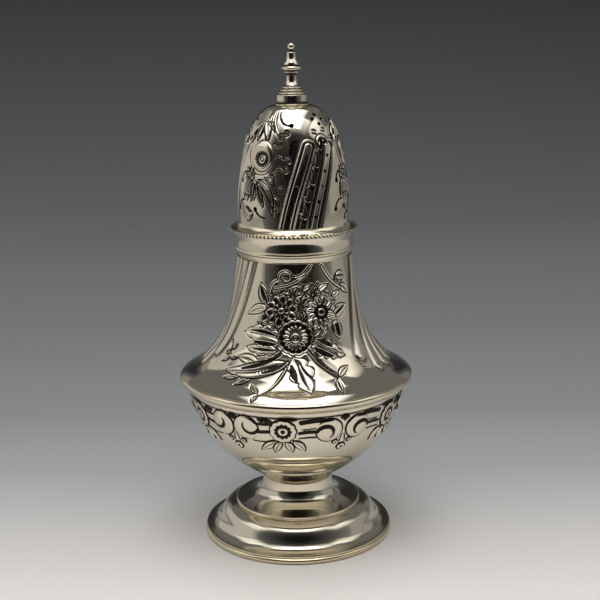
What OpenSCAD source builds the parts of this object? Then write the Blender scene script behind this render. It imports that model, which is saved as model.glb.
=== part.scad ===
// Sugar caster: a baluster body on a spreading foot, with a pierced dome cover that pulls off.
// Millimetres, +Z up, origin on the table under the middle of the foot.
// Every piece is a turned or spun shell about the Z axis. Heights are stacked from the table up.

/* [Foot] */
// Outer radius of the round wire that the foot stands on
foot_rim_r = 37; // [34:0.5:40]
// Height of that wire
foot_rim_h = 2.3; // [1.8:0.1:3]
// Radial width of that wire
foot_rim_w = 3.4; // [2.6:0.1:4.2]
// How far the skirt's lower edge stands back from the wire
brim_setback = 0.7; // [0.4:0.1:1.2]
// Height of the skirt's plain lower edge
brim_edge_h = 0.6; // [0.3:0.1:1]
// Radius where the hollow brim turns up into the rounded step
foot_step_r = 30.3; // [28:0.1:32]
// Height of that turn above the wire
foot_step_h = 4.9; // [4:0.1:6]
// Height of the ledge under the pedestal, above the wire
ledge_h = 9.6; // [8.6:0.1:11]
// Outer radius of the ledge
ledge_r = 24.9; // [24.6:0.1:26]
// Thickness of the foot's sheet metal
foot_wall = 0.9; // [0.7:0.1:1.2]

/* [Pedestal] */
// How far the bead round the pedestal's base stands in from the ledge's edge
bead_setback = 0.5; // [0.3:0.1:1.5]
// Height of that bead
bead_h = 1.3; // [1:0.1:1.6]
// Radial width of the bead's flat seat
bead_seat_w = 1.5; // [1.2:0.1:2]
// Smallest radius of the stem
stem_r = 13.5; // [12:0.1:14]
// Height of the stem's narrowest place above the ledge
stem_waist_h = 8.1; // [7:0.1:9]
// Height of the whole pedestal above the ledge
pedestal_h = 12.3; // [11:0.1:14]
// How much wider the stem's upper end is than its narrowest place, on the radius
stem_flare = 1.2; // [0.7:0.1:2.5]

/* [Bowl] */
// Height of the bowl from its underside to its upper edge
bowl_h = 38.5; // [36:0.5:42]
// How far the bowl's upper edge stands in from the girdle
bowl_setback = 3.5; // [2.5:0.1:5]
// Height of the straight band at the bowl's upper edge
bowl_band_h = 3.7; // [3:0.1:5]
// Thickness of the body's sheet metal
body_wall = 0.9; // [0.7:0.1:1.2]

/* [Girdle] */
// Outer radius of the moulding between bowl and shoulder
girdle_r = 45; // [42:0.5:48]
// Radius of the moulding's rounded lip
girdle_lip_r = 1.5; // [1.2:0.1:1.8]
// How far the moulding reaches down over the bowl
girdle_overlap_h = 2.1; // [1.5:0.1:3]
// Height of the moulding above the bowl's upper edge
girdle_h = 2.7; // [2.4:0.1:3.2]

/* [Shoulder and neck] */
// How far the shoulder's lower edge stands in from the girdle
shoulder_setback = 0.8; // [0.5:0.1:1.2]
// Radius where the shoulder turns from round to hollow
turn_r = 33.3; // [31:0.1:35]
// Height of that turn above the girdle
turn_h = 7; // [6:0.1:8]
// Outer radius of the neck's upper end
neck_r = 21; // [19:0.1:23]
// Height from the girdle to the neck's upper end
shoulder_h = 45.8; // [42:0.1:50]

/* [Neck ring and bezel] */
// How far the ring's plain lower band stands out from the neck
ring_band_reach = 0.3; // [0.2:0.1:0.8]
// Height of that band
ring_band_h = 2.5; // [2:0.1:3]
// How far the ring's upper bead stands out from the neck
ring_bead_reach = 1.7; // [1.5:0.1:2.2]
// Height of that bead
ring_bead_h = 1.5; // [1.2:0.1:1.8]
// Radius of that bead's rounded edges
ring_corner = 0.3; // [0.1:0.05:0.5]
// Depth of the recess in the ring where the bezel is set
bezel_seat_h = 0.8; // [0.5:0.1:1]
// How far the bezel that the cover slides over stands out from the neck
bezel_reach = 0.85; // [0.6:0.05:1]
// Thickness of the bezel
bezel_wall = 0.8; // [0.6:0.1:1]
// Height of the bezel that stands above the ring
bezel_h = 5; // [4:0.1:5.2]

/* [Cover base] */
// Running clearance between the bezel and the cover's sleeve, on the radius
cover_clearance = 0.1; // [0.02:0.01:0.1]
// Thickness of the sleeve
sleeve_wall = 0.8; // [0.7:0.05:1]
// Height of the sleeve
sleeve_h = 5.7; // [5.5:0.1:7]
// How far the flange above the sleeve stands out from it
flange_reach = 0.65; // [0.4:0.05:1.2]
// Height of the flange's plain edge
flange_edge_h = 1; // [0.7:0.1:1.3]
// Height of the whole flange, up to the foot of the dome
flange_h = 3.1; // [2.6:0.1:3.6]
// Radial thickness of the rope wire round the flange's edge
rope_w = 0.9; // [0.6:0.1:1.2]

/* [Dome] */
// How far the dome's foot stands in from the flange's edge
dome_setback = 2.6; // [2.2:0.1:3]
// Height of the dome
dome_h = 43.2; // [40:0.1:48]
// Radius of the flat at the top that the finial stands on
crown_r = 6.2; // [5.8:0.1:7]
// Thickness of the dome's sheet metal
dome_wall = 0.8; // [0.6:0.1:1]
// Panels round the dome, each a pair of pierced flutes beside a flower spray
panels = 3; // [2:1:4]
// Diameter of the sprinkling holes
hole_d = 1.25; // [0.8:0.05:1.6]
// Diameter of the small piercings between the two flutes
small_hole_d = 0.9; // [0.6:0.05:1.2]
// Holes in each flute
flute_holes = 5; // [3:1:5]
// Height of the lowest flute hole above the dome's foot
flute_hole_h = 4.3; // [4:0.1:6]
// Height from one flute hole to the next
flute_hole_pitch = 5.4; // [5:0.1:5.8]
// Angle between the panel's two flutes
flute_gap = 27.5; // [24:0.5:30]
// Width of the pierced scrolls' tails
scroll_w = 0.8; // [0.5:0.05:1]

/* [Finial] */
// Radius of the finial's foot disc
finial_foot_r = 6.2; // [5.8:0.1:6.6]
// Height of the finial's foot disc
finial_foot_h = 0.6; // [0.4:0.1:0.9]
// Radius of the drum above it
drum_r = 5.4; // [5:0.1:5.7]
// Height of the drum
drum_h = 3.1; // [2.6:0.1:3.6]
// Radius of the lowest of the stepped reeds
reed_r = 4.7; // [4.4:0.05:4.9]
// Step in radius from one reed to the next
reed_step = 0.66; // [0.5:0.02:0.75]
// Height of each reed
reed_h = 1.03; // [0.9:0.01:1.2]
// Radius of the spire's waist
spire_r = 1.85; // [1.6:0.05:2.1]
// Height of the spire's hollow stretch
spire_h = 5.7; // [5:0.1:6.5]
// Radius of the collar above the spire
collar_r = 3.65; // [3.3:0.05:4]
// Height of the collar
collar_h = 1.6; // [1.2:0.1:2]
// How far the thin ring under the collar stands in from it
under_ring_setback = 0.9; // [0.7:0.05:1.1]
// Height of that ring
under_ring_h = 0.6; // [0.4:0.05:0.8]
// Drop from the collar to that ring
under_ring_drop = 0.4; // [0.2:0.05:0.6]
// Height of the bell above the collar
bell_h = 5; // [4.5:0.1:6]
// Radius of the bell's upper end
bell_top_r = 1.6; // [1.4:0.05:1.8]
// Radius of the short neck under the ball
ball_neck_r = 0.8; // [0.6:0.05:1]
// Height of that neck
ball_neck_h = 1.2; // [0.8:0.1:1.6]
// Radius of the ball
ball_r = 1.35; // [1.2:0.05:1.6]

/* [Finial fixing] */
// Radius of the screwed stud below the finial
stud_r = 1.5; // [1.2:0.05:1.8]
// Clearance round the stud in the dome and washer, on the radius
stud_clearance = 0.1; // [0.05:0.01:0.2]
// Play between stud and nut, on the radius
thread_play = 0.05; // [0.02:0.01:0.1]
// Outer radius of the washer
washer_r = 4.6; // [4:0.1:5.2]
// Thickness of the washer
washer_h = 0.8; // [0.6:0.1:1]
// Width of the nut across its flats
nut_flats = 5.5; // [5:0.1:6]
// Height of the nut
nut_h = 2.4; // [2:0.1:3]
// Length of stud left below the nut
stud_tail = 0.8; // [0.5:0.1:1.5]

/* [Hidden] */
$fn = 96;

// Points along each curved stretch of a profile
steps = 18;
// Far larger than the part, for cutting planes
far = 400;

// Heights from the table
ledge_z = foot_rim_h + ledge_h;
waist_z = ledge_z + stem_waist_h;
bowl_z = ledge_z + pedestal_h;
bowl_top_z = bowl_z + bowl_h;
girdle_z = bowl_top_z + girdle_h;
turn_z = girdle_z + turn_h;
neck_z = girdle_z + shoulder_h;
ring_band_z = neck_z + ring_band_h;
ring_z = ring_band_z + ring_bead_h;
flange_z = ring_z + sleeve_h;
dome_z = flange_z + flange_h;
crown_z = dome_z + dome_h;
drum_z = crown_z + finial_foot_h;
reeds_z = drum_z + drum_h;
reeds = 3;
spire_z = reeds_z + reeds * reed_h;
collar_z = spire_z + spire_h;
bell_z = collar_z + collar_h;
ball_neck_z = bell_z + bell_h;
ball_z = ball_neck_z + ball_neck_h + ball_r;

// Radii that follow from what carries them
brim_r = foot_rim_r - brim_setback;
bead_r = ledge_r - bead_setback;
stem_top_r = stem_r + stem_flare;
bowl_r = girdle_r - bowl_setback;
shoulder_r = girdle_r - shoulder_setback;
ring_band_r = neck_r + ring_band_reach;
ring_bead_r = neck_r + ring_bead_reach;
bezel_r = neck_r + bezel_reach;
sleeve_bore_r = bezel_r + cover_clearance;
sleeve_r = sleeve_bore_r + sleeve_wall;
flange_r = sleeve_r + flange_reach;
dome_r = flange_r - dome_setback;
stud_hole_r = stud_r + stud_clearance;

// Finial fixing, downwards from the underside of the crown
washer_z = crown_z - dome_wall - washer_h;
nut_z = washer_z - nut_h;
stud_end_z = nut_z - stud_tail;

// Fullness of the curves: how far each end's tangent carries, as a share of the curve's rise or reach
brim_full = [0.62, 0.45];
step_full = [0.5, 0.52];
dish_full = [0.61, 0.55];
stem_full = [0.45, 0.28];
bowl_full = [0.21, 0.73];
cushion_full = [0.36, 0.5];
neck_full = [0.17, 0.79];
dome_full = [0.6, 0.65];

// Colours of the finishes
silver = [0.80, 0.79, 0.75];
bright_silver = [0.86, 0.85, 0.82];
worn_plate = [0.74, 0.68, 0.50];
brass = [0.74, 0.60, 0.34];

// Point at share t of the smooth curve with end points a, d and pull points b, c
function curve_point(a, b, c, d, t) =
    pow(1 - t, 3) * a + 3 * pow(1 - t, 2) * t * b + 3 * (1 - t) * t * t * c + pow(t, 3) * d;

function curve(a, b, c, d) = [for (i = [0 : steps]) curve_point(a, b, c, d, i / steps)];

// Direction along a line of points at point i
function along(points, i) =
    let (d = points[min(i + 1, len(points) - 1)] - points[max(i - 1, 0)]) d / norm(d);

// The same line moved by d to its left, towards the inside of a shell drawn upwards
function inside(points, d) =
    [for (i = [0 : len(points) - 1]) let (u = along(points, i)) points[i] + d * [-u[1], u[0]]];

function backwards(points) = [for (i = [len(points) - 1 : -1 : 0]) points[i]];

// Section of a sheet of the given thickness behind an outer line
module sheet(points, wall) {
    polygon(concat(points, backwards(inside(points, wall))));
}

// Section kept between two heights
module between(low, high) {
    intersection() {
        children();
        translate([0, low]) square([far, high - low]);
    }
}

// Rectangle of a section, from inner to outer radius and from low to high
module band(r_in, r_out, low, high) {
    translate([r_in, low]) square([r_out - r_in, high - low]);
}

// Band with both outer corners rounded
module rounded_band(r_in, r_out, low, high, corner) {
    band(r_in, r_out - corner, low, high);
    band(r_in, r_out, low + corner, high - corner);
    for (z = [low + corner, high - corner]) translate([r_out - corner, z]) circle(corner);
}

// Band with a half-round outer edge
module bead(r_in, r_out, low, high) {
    r = (high - low) / 2;
    band(r_in, r_out - r, low, high);
    translate([r_out - r, low + r]) circle(r);
}

module foot_rim() {
    color(worn_plate) rotate_extrude() bead(foot_rim_r - foot_rim_w, foot_rim_r, 0, foot_rim_h);
}

// Hollow brim, rounded step and the ledge under the pedestal
function skirt_line() =
    let (
        edge = [brim_r, foot_rim_h + brim_edge_h],
        turn = [foot_step_r, foot_rim_h + foot_step_h],
        top = [ledge_r, ledge_z],
        brim_reach = edge[0] - turn[0],
        brim_rise = turn[1] - edge[1],
        step_reach = turn[0] - top[0],
        step_rise = top[1] - turn[1],
        lean = 0.3
    )
    concat(
        curve(edge, edge + [-brim_full[0] * brim_reach, lean * brim_full[0] * brim_rise],
              turn + [lean * brim_full[1] * brim_rise, -brim_full[1] * brim_rise], turn),
        curve(turn, turn + [-lean * step_full[0] * step_rise, step_full[0] * step_rise],
              top + [step_full[1] * step_reach, -step_full[1] * step_rise * lean], top)
    );

module foot_skirt() {
    color(bright_silver) rotate_extrude() {
        between(foot_rim_h, ledge_z) sheet(skirt_line(), foot_wall);
        band(brim_r - foot_wall, brim_r, foot_rim_h, foot_rim_h + brim_edge_h);
        band(bead_r - 2 * bead_seat_w, ledge_r, ledge_z - foot_wall, ledge_z);
    }
}

// Dish from the bead to the stem's waist, then the stem's flare up to the bowl
function pedestal_line() =
    let (
        rim = [bead_r - bead_h / 2, ledge_z + bead_h],
        waist = [stem_r, waist_z],
        top = [stem_top_r, bowl_z],
        reach = rim[0] - waist[0],
        dish_rise = waist[1] - rim[1],
        flare_rise = top[1] - waist[1],
        lean = 0.1
    )
    concat(
        curve(rim, rim + [-dish_full[0] * reach, lean * dish_rise],
              waist - [0, dish_full[1] * dish_rise], waist),
        curve(waist, waist + [0, stem_full[0] * flare_rise],
              top - stem_full[1] * [top[0] - waist[0], flare_rise], top)
    );

module pedestal() {
    color(bright_silver) rotate_extrude() {
        between(ledge_z, bowl_z) sheet(pedestal_line(), foot_wall);
        bead(bead_r - bead_seat_w, bead_r, ledge_z, ledge_z + bead_h);
    }
}

// Bowl wall from the stem up to the straight band under the girdle
function bowl_line() =
    let (
        foot = [stem_top_r, bowl_z],
        shoulder = [bowl_r, bowl_top_z - bowl_band_h],
        reach = shoulder[0] - foot[0],
        rise = shoulder[1] - foot[1],
        upper_lean = 0.2
    )
    concat(
        curve(foot, foot + bowl_full[0] * reach * [1, 1],
              shoulder - bowl_full[1] * rise * [upper_lean, 1], shoulder),
        [[bowl_r, bowl_top_z + body_wall]]
    );

module bowl() {
    color(silver) rotate_extrude() {
        between(bowl_z, bowl_top_z) sheet(bowl_line(), body_wall);
        band(0, stem_top_r, bowl_z, bowl_z + body_wall);
    }
}

// Rounded lip, with a hollow below it that laps over the bowl's edge
module girdle() {
    lip_z = girdle_z - girdle_lip_r;
    cove_r = girdle_r - girdle_lip_r;
    lap_z = bowl_top_z - girdle_overlap_h;
    lap_r = bowl_r + girdle_lip_r / 3;
    color(bright_silver) rotate_extrude() {
        band(bowl_r - body_wall, cove_r, bowl_top_z, girdle_z);
        translate([cove_r, lip_z]) circle(girdle_lip_r);
        polygon(concat(
            [[bowl_r, bowl_top_z], [bowl_r, lap_z]],
            curve([lap_r, lap_z], [lap_r, lap_z + girdle_overlap_h / 2],
                  [cove_r, lap_z + girdle_overlap_h / 2], [cove_r, bowl_top_z])
        ));
    }
}

// Round shoulder turning into the long hollow neck
function upper_line() =
    let (
        edge = [shoulder_r, girdle_z],
        turn = [turn_r, turn_z],
        top = [neck_r, neck_z],
        cushion = edge - turn,
        rise = top[1] - turn[1],
        slope = [-0.63, 0.77],
        slant = [-0.11, 0.99]
    )
    concat(
        curve(edge, edge + cushion_full[0] * norm(cushion) * [-0.8, 0.6],
              turn - cushion_full[1] * norm(cushion) * slope, turn),
        curve(turn, turn + neck_full[0] * rise * slope,
              top - neck_full[1] * rise * slant, top)
    );

module upper_body() {
    line = upper_line();
    last = len(line) - 1;
    below = line[0] + body_wall * [0.8, -0.6];
    above = line[last] + [0, body_wall];
    color(silver) rotate_extrude()
        between(girdle_z, neck_z) sheet(concat([below], line, [above]), body_wall);
}

// Soldered ring: it caps the neck, holds the bezel and carries the cover's sleeve
module neck_ring() {
    color(bright_silver) rotate_extrude() difference() {
        union() {
            band(neck_r - body_wall, ring_band_r, neck_z, ring_z);
            rounded_band(neck_r - body_wall, ring_bead_r, ring_band_z, ring_z, ring_corner);
        }
        band(0, bezel_r, ring_z - bezel_seat_h, ring_z + far);
    }
}

module neck_bezel() {
    color(silver) rotate_extrude()
        band(bezel_r - bezel_wall, bezel_r, ring_z - bezel_seat_h, ring_z + bezel_h);
}

module cover_sleeve() {
    color(bright_silver) rotate_extrude() band(sleeve_bore_r, sleeve_r, ring_z, flange_z);
}

// Flange that slopes up from its edge to the foot of the dome
module cover_flange() {
    edge_z = flange_z + flange_edge_h;
    slope_h = dome_z - edge_z;
    reach = flange_r - dome_r;
    color(bright_silver) rotate_extrude() polygon(concat(
        [[dome_r - dome_wall, flange_z], [flange_r, flange_z]],
        curve([flange_r, edge_z], [flange_r - reach / 2, edge_z + slope_h / 8],
              [dome_r + reach / 6, dome_z - slope_h / 2], [dome_r, dome_z]),
        [[dome_r - dome_wall, dome_z]]
    ));
}

// Wire with a flat back against the flange's edge
module rope_border() {
    edge_z = flange_z + flange_edge_h;
    color(worn_plate) rotate_extrude() difference() {
        bead(flange_r, flange_r + rope_w, flange_z, edge_z);
        band(0, flange_r, flange_z, edge_z);
    }
}

// Dome wall from its foot to the flat crown
function dome_line() =
    let (
        foot = [dome_r, dome_z],
        crown = [crown_r, crown_z],
        reach = foot[0] - crown[0],
        crown_droop = 0.015
    )
    curve(foot, foot + [0, dome_full[0] * dome_h],
          crown + [dome_full[1] * reach, -crown_droop * dome_h], crown);

// Cutter along a line from the axis at height z, at an azimuth from the front and an angle above level
module drill(azimuth, z, rise) {
    translate([0, 0, z]) rotate([90 - rise, 0, azimuth]) linear_extrude(2 * dome_r) children();
}

// Azimuth of a flute at a height above the dome's foot: it leans and straightens towards the foot
function flute_lean(h) = 0.66 * (h - flute_hole_h) + 0.0125 * pow(h - flute_hole_h, 2);

// Comma shape: a round head with a tail bent along an arc
module comma(tail_r, sweep) {
    circle(d = 2 * scroll_w);
    intersection() {
        translate([0, tail_r]) difference() {
            circle(tail_r + scroll_w / 2);
            circle(tail_r - scroll_w / 2);
        }
        polygon([
            [0, tail_r],
            [0, -tail_r],
            [2 * tail_r, -tail_r],
            [2 * tail_r, tail_r * (1 - cos(sweep))]
        ]);
    }
}

// All piercings of one panel
module panel_piercings() {
    first_flute = -5;
    crown_centre_h = 23;
    // Azimuth of each hole round the crown, and its angle above level from the crown's centre
    diamond = [[33, 49.5], [41, 56], [51, 49.5], [42, 44.5]];
    // Small holes between the flutes: first azimuth, first height, count and pitch
    chain_start = 11.5;
    chain_h = 3.3;
    chain = 5;
    chain_pitch = 6.1;
    // Scrolls: azimuth, height, angle above level, turn of the tail, 1 if mirrored, radius of the tail
    scrolls = [
        [-1, crown_centre_h, 45, 160, 1, 3.4],
        [-43, 7, 0, -50, 0, 4.2],
        [52, 17, 0, 70, 1, 3],
        [48.5, 6.4, 0, 70, 1, 3.4]
    ];
    scroll_sweep = 75;
    for (side = [0, 1], k = [0 : flute_holes - 1]) {
        h = flute_hole_h + k * flute_hole_pitch;
        drill(first_flute + side * flute_gap + flute_lean(h), dome_z + h, 0) circle(d = hole_d);
    }
    for (k = [0 : chain - 1]) {
        h = chain_h + k * chain_pitch;
        drill(chain_start + flute_lean(h), dome_z + h, 0) circle(d = small_hole_d);
    }
    for (hole = diamond) drill(hole[0], dome_z + crown_centre_h, hole[1]) circle(d = hole_d);
    for (s = scrolls)
        drill(s[0], dome_z + s[1], s[2]) rotate(s[3]) mirror([0, s[4]]) comma(s[5], scroll_sweep);
}

module cover_dome() {
    color(silver) difference() {
        rotate_extrude() {
            between(dome_z, crown_z) sheet(dome_line(), dome_wall);
            band(stud_hole_r, crown_r, crown_z - dome_wall, crown_z);
        }
        for (k = [0 : panels - 1]) rotate(k * 360 / panels) panel_piercings();
    }
}

// Turned finial with its screwed stud
module finial() {
    spire_base_r = reed_r - (reeds - 0.5) * reed_step;
    waist_z = spire_z + 0.6 * spire_h;
    fillet_r = spire_r + 0.3 * (collar_r - spire_r);
    bell_setback = 0.85;
    bell_r = collar_r - bell_setback;
    under_ring_z = collar_z - under_ring_drop;
    color(worn_plate) rotate_extrude() {
        band(0, finial_foot_r, crown_z, drum_z);
        band(0, drum_r, drum_z, reeds_z);
        for (k = [0 : reeds - 1])
            bead(0, reed_r - k * reed_step, reeds_z + k * reed_h, reeds_z + (k + 1) * reed_h);
        polygon(concat(
            [[0, spire_z]],
            curve([spire_base_r, spire_z], [spire_r + 0.2, spire_z + 0.25 * spire_h],
                  [spire_r, waist_z - 0.2 * spire_h], [spire_r, waist_z]),
            curve([spire_r, waist_z], [spire_r, waist_z + 0.2 * spire_h],
                  [fillet_r, collar_z - 0.15 * spire_h], [fillet_r, collar_z]),
            [[0, collar_z]]
        ));
        bead(0, collar_r - under_ring_setback, under_ring_z - under_ring_h, under_ring_z);
        bead(0, collar_r, collar_z, bell_z);
        polygon(concat(
            [[0, bell_z]],
            curve([bell_r, bell_z], [bell_r, bell_z + 0.35 * bell_h],
                  [bell_top_r, bell_z + 0.45 * bell_h], [bell_top_r, ball_neck_z]),
            [[0, ball_neck_z]]
        ));
        band(0, ball_neck_r, ball_neck_z, ball_z);
        intersection() {
            translate([0, ball_z]) circle(ball_r);
            band(0, ball_r, ball_z - ball_r, ball_z + ball_r);
        }
        band(0, stud_r, stud_end_z, crown_z);
    }
}

module finial_washer() {
    color(brass) rotate_extrude() band(stud_hole_r, washer_r, washer_z, washer_z + washer_h);
}

module finial_nut() {
    color(brass) translate([0, 0, nut_z]) difference() {
        cylinder(h = nut_h, d = nut_flats / cos(30), $fn = 6);
        translate([0, 0, -nut_h / 2]) cylinder(h = 2 * nut_h, r = stud_r + thread_play);
    }
}

foot_rim();
foot_skirt();
pedestal();
bowl();
girdle();
upper_body();
neck_ring();
neck_bezel();
cover_sleeve();
cover_flange();
rope_border();
cover_dome();
finial();
finial_washer();
finial_nut();
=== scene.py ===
"""Finish of a chased and pierced silver-plated sugar caster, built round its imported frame.

Turned pieces are profiles carried round the axis. The chased shells are grids over azimuth and profile
length, raised and engraved by fields of distance to drawn lines. Lengths inside the functions are in
millimetres, azimuths in degrees from the front, positive to the right.
"""
import math

import bpy
import numpy as np
from bpy.props import FloatProperty, FloatVectorProperty, IntProperty, PointerProperty
from mathutils import Matrix, Vector


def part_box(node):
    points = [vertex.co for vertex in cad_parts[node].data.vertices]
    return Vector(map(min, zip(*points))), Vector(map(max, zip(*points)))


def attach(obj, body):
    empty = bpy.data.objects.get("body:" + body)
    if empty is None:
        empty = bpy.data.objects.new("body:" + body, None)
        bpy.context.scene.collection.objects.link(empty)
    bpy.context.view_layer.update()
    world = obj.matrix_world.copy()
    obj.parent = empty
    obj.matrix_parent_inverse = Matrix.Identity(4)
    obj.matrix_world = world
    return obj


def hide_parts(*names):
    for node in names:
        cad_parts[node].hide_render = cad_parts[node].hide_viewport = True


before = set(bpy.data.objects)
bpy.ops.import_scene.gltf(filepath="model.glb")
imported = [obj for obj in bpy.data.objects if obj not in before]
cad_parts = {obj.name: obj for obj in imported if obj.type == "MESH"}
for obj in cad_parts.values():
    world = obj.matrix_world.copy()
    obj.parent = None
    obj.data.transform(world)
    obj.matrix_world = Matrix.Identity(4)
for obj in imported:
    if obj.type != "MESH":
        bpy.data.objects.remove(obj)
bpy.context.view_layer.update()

bl_info = {
    "name": "Sugar Caster Finish",
    "version": (1, 0, 0),
    "blender": (4, 5, 0),
    "location": "View3D > Sidebar > Caster",
    "description": "Chased, pierced and polished surfaces of a silver-plated sugar caster",
    "category": "Object",
}

MM = 0.001
BOXES = {name: [np.array(corner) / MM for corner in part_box(name)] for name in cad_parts}
PANELS = 3
PANEL_SPAN = 360.0 / PANELS
SHARP_ANGLE = math.radians(72)


def foot_of(node):
    """Lowest height of a node."""
    return BOXES[node][0][2]


def top_of(node):
    """Highest height of a node."""
    return BOXES[node][1][2]


def reach_of(node):
    """Largest radius of a node."""
    return BOXES[node][1][0]


class CasterShape(bpy.types.PropertyGroup):
    """Sizes of the turned shapes that the frame's boxes don't give."""

    wall: FloatProperty(
        name="Wall", description="Thickness of the sheet metal", default=0.0009, unit="LENGTH")
    cover_wall: FloatProperty(
        name="Cover wall", description="Thickness of the cover's sheet metal",
        default=0.0008, unit="LENGTH")
    corner: FloatProperty(
        name="Corner", description="Rounding of the mouldings' edges", default=0.00016, unit="LENGTH")
    rim_width: FloatProperty(
        name="Foot rim", description="Radial width of the foot's wire", default=0.0034, unit="LENGTH")
    step_radius: FloatProperty(
        name="Foot step radius", description="Radius of the foot's rounded step",
        default=0.0303, unit="LENGTH")
    step_height: FloatProperty(
        name="Foot step height", description="Height of the foot's rounded step",
        default=0.0072, unit="LENGTH")
    ledge_radius: FloatProperty(
        name="Ledge radius", description="Radius of the ledge under the pedestal",
        default=0.0249, unit="LENGTH")
    bead_height: FloatProperty(
        name="Pedestal bead", description="Height of the pedestal's bead", default=0.0013, unit="LENGTH")
    waist_radius: FloatProperty(
        name="Stem waist radius", description="Radius of the stem's waist", default=0.0135, unit="LENGTH")
    waist_height: FloatProperty(
        name="Stem waist height", description="Height of the stem's waist", default=0.0223, unit="LENGTH")
    stem_top_radius: FloatProperty(
        name="Stem top", description="Radius of the stem under the bowl", default=0.0147, unit="LENGTH")
    bowl_band: FloatProperty(
        name="Bowl band", description="Straight band under the girdle", default=0.0037, unit="LENGTH")
    lip_radius: FloatProperty(
        name="Girdle lip", description="Radius of the girdle's lip", default=0.0015, unit="LENGTH")
    turn_radius: FloatProperty(
        name="Shoulder turn radius", description="Radius where the shoulder turns into the neck",
        default=0.0333, unit="LENGTH")
    turn_height: FloatProperty(
        name="Shoulder turn height", description="Height where the shoulder turns into the neck",
        default=0.0724, unit="LENGTH")
    neck_radius: FloatProperty(
        name="Neck", description="Radius of the neck's upper end", default=0.021, unit="LENGTH")
    ring_band: FloatProperty(
        name="Ring band", description="Height of the neck ring's plain band",
        default=0.0025, unit="LENGTH")
    sleeve_flare: FloatProperty(
        name="Sleeve flare", description="How far the sleeve's upper end flares out",
        default=0.0006, unit="LENGTH")
    flange_edge: FloatProperty(
        name="Flange edge", description="Height of the flange's plain edge", default=0.001, unit="LENGTH")
    crown_radius: FloatProperty(
        name="Crown", description="Radius of the dome's flat top", default=0.0062, unit="LENGTH")
    rope_twists: IntProperty(
        name="Rope twists", description="Twists round the rope border", default=96)


class CasterChasing(bpy.types.PropertyGroup):
    """Sizes of the chased and pierced work."""

    line_width: FloatProperty(
        name="Line width", description="Width of a chased line on the neck and dome",
        default=0.00026, unit="LENGTH")
    frieze_line: FloatProperty(
        name="Frieze line", description="Width of a chased line on the bowl",
        default=0.0004, unit="LENGTH")
    line_depth: FloatProperty(
        name="Line depth", description="Depth of a chased line", default=0.00022, unit="LENGTH")
    leaf_swell: FloatProperty(
        name="Leaf swell", description="Height of a leaf over its ground", default=0.0004, unit="LENGTH")
    flute_swell: FloatProperty(
        name="Flute swell", description="Height of a flute over its ground",
        default=0.0007, unit="LENGTH")
    hole: FloatProperty(
        name="Hole", description="Diameter of the sprinkling holes", default=0.0014, unit="LENGTH")


class CasterFinish(bpy.types.PropertyGroup):
    """Colours of the finishes."""

    silver: FloatVectorProperty(
        name="Silver", description="Polished silver plate", subtype="COLOR", default=(0.74, 0.69, 0.575))
    # The dark colour of the oxide in the chasing, also used for painted shade in hollows, under the
    # girdle's lip, round the dome's piercings, in the leaves' hollows and in a patch on the neck.
    tarnish: FloatVectorProperty(
        name="Tarnish", description="Dark oxide in the chasing", subtype="COLOR",
        default=(0.022, 0.018, 0.014))
    worn: FloatVectorProperty(
        name="Worn plate", description="Base metal that shows on rubbed edges", subtype="COLOR",
        default=(0.78, 0.66, 0.42))
    brass: FloatVectorProperty(
        name="Brass", description="Washer and nut inside the cover", subtype="COLOR",
        default=(0.70, 0.50, 0.22))
    paper: FloatVectorProperty(
        name="Paper", description="Pale studio paper", subtype="COLOR", default=(0.95, 0.915, 0.88))
    # Tint painted on the paper away from the lamps, standing in for cooler light there.
    painted_cool_paper: FloatVectorProperty(
        name="Far paper", description="Studio paper away from the lamps", subtype="COLOR",
        default=(0.88, 0.915, 0.955))


class CasterView(bpy.types.PropertyGroup):
    """The camera."""

    distance: FloatProperty(
        name="Distance", description="Camera's distance in front of the axis",
        default=0.4485, unit="LENGTH")
    height: FloatProperty(
        name="Height", description="Camera's height over the table", default=0.204, unit="LENGTH")
    pitch: FloatProperty(
        name="Pitch", description="How far the camera looks down",
        default=math.radians(13.93), unit="ROTATION")
    roll: FloatProperty(
        name="Roll", description="How far the camera is tipped",
        default=math.radians(-0.82), unit="ROTATION")
    yaw: FloatProperty(
        name="Yaw", description="How far the camera is turned aside",
        default=math.radians(-0.25), unit="ROTATION")
    lens: FloatProperty(
        name="Lens", description="Focal length in millimetres", default=72.2)


def size(name):
    """A size of the turned shapes in millimetres."""
    return getattr(bpy.context.scene.caster_shape, name) / MM


def chased(name):
    """A size of the chased work in millimetres."""
    return getattr(bpy.context.scene.caster_chasing, name) / MM


def curve(start, pull_out, pull_in, end, count=40):
    """Smooth line from start to end: the cubic blend of its ends and their two pull points."""
    t = np.linspace(0, 1, count)[:, None]
    a, b, c, d = (np.asarray(point, float) for point in (start, pull_out, pull_in, end))
    return (1 - t) ** 3 * a + 3 * (1 - t) ** 2 * t * b + 3 * (1 - t) * t**2 * c + t**3 * d


def arc(centre, radius, first, last, count=16):
    """Stretch of a circle between two angles in degrees."""
    angle = np.radians(np.linspace(first, last, count))
    return np.asarray(centre, float) + radius * np.stack([np.cos(angle), np.sin(angle)], 1)


def joined(*stretches):
    """Several stretches as one line, without repeated points."""
    line = np.concatenate([np.atleast_2d(np.asarray(s, float)) for s in stretches])
    step = np.hypot(*np.diff(line, axis=0).T)
    return line[np.concatenate([[True], step > 1e-5])]


def run_along(line):
    """Length passed along a line at each of its points."""
    return np.concatenate([[0], np.cumsum(np.hypot(*np.diff(line, axis=0).T))])


def directions(line):
    """Unit direction along a line at each of its points."""
    step = np.gradient(line, axis=0)
    return step / np.hypot(*step.T)[:, None]


def normals(line):
    """Unit direction away from the axis and square to a line that is drawn upwards."""
    along = directions(line)
    return np.stack([along[:, 1], -along[:, 0]], 1)


def inward(line, wall):
    """The line moved towards the axis by the wall, square to itself, for a line drawn upwards."""
    return line - wall * normals(line)


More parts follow.
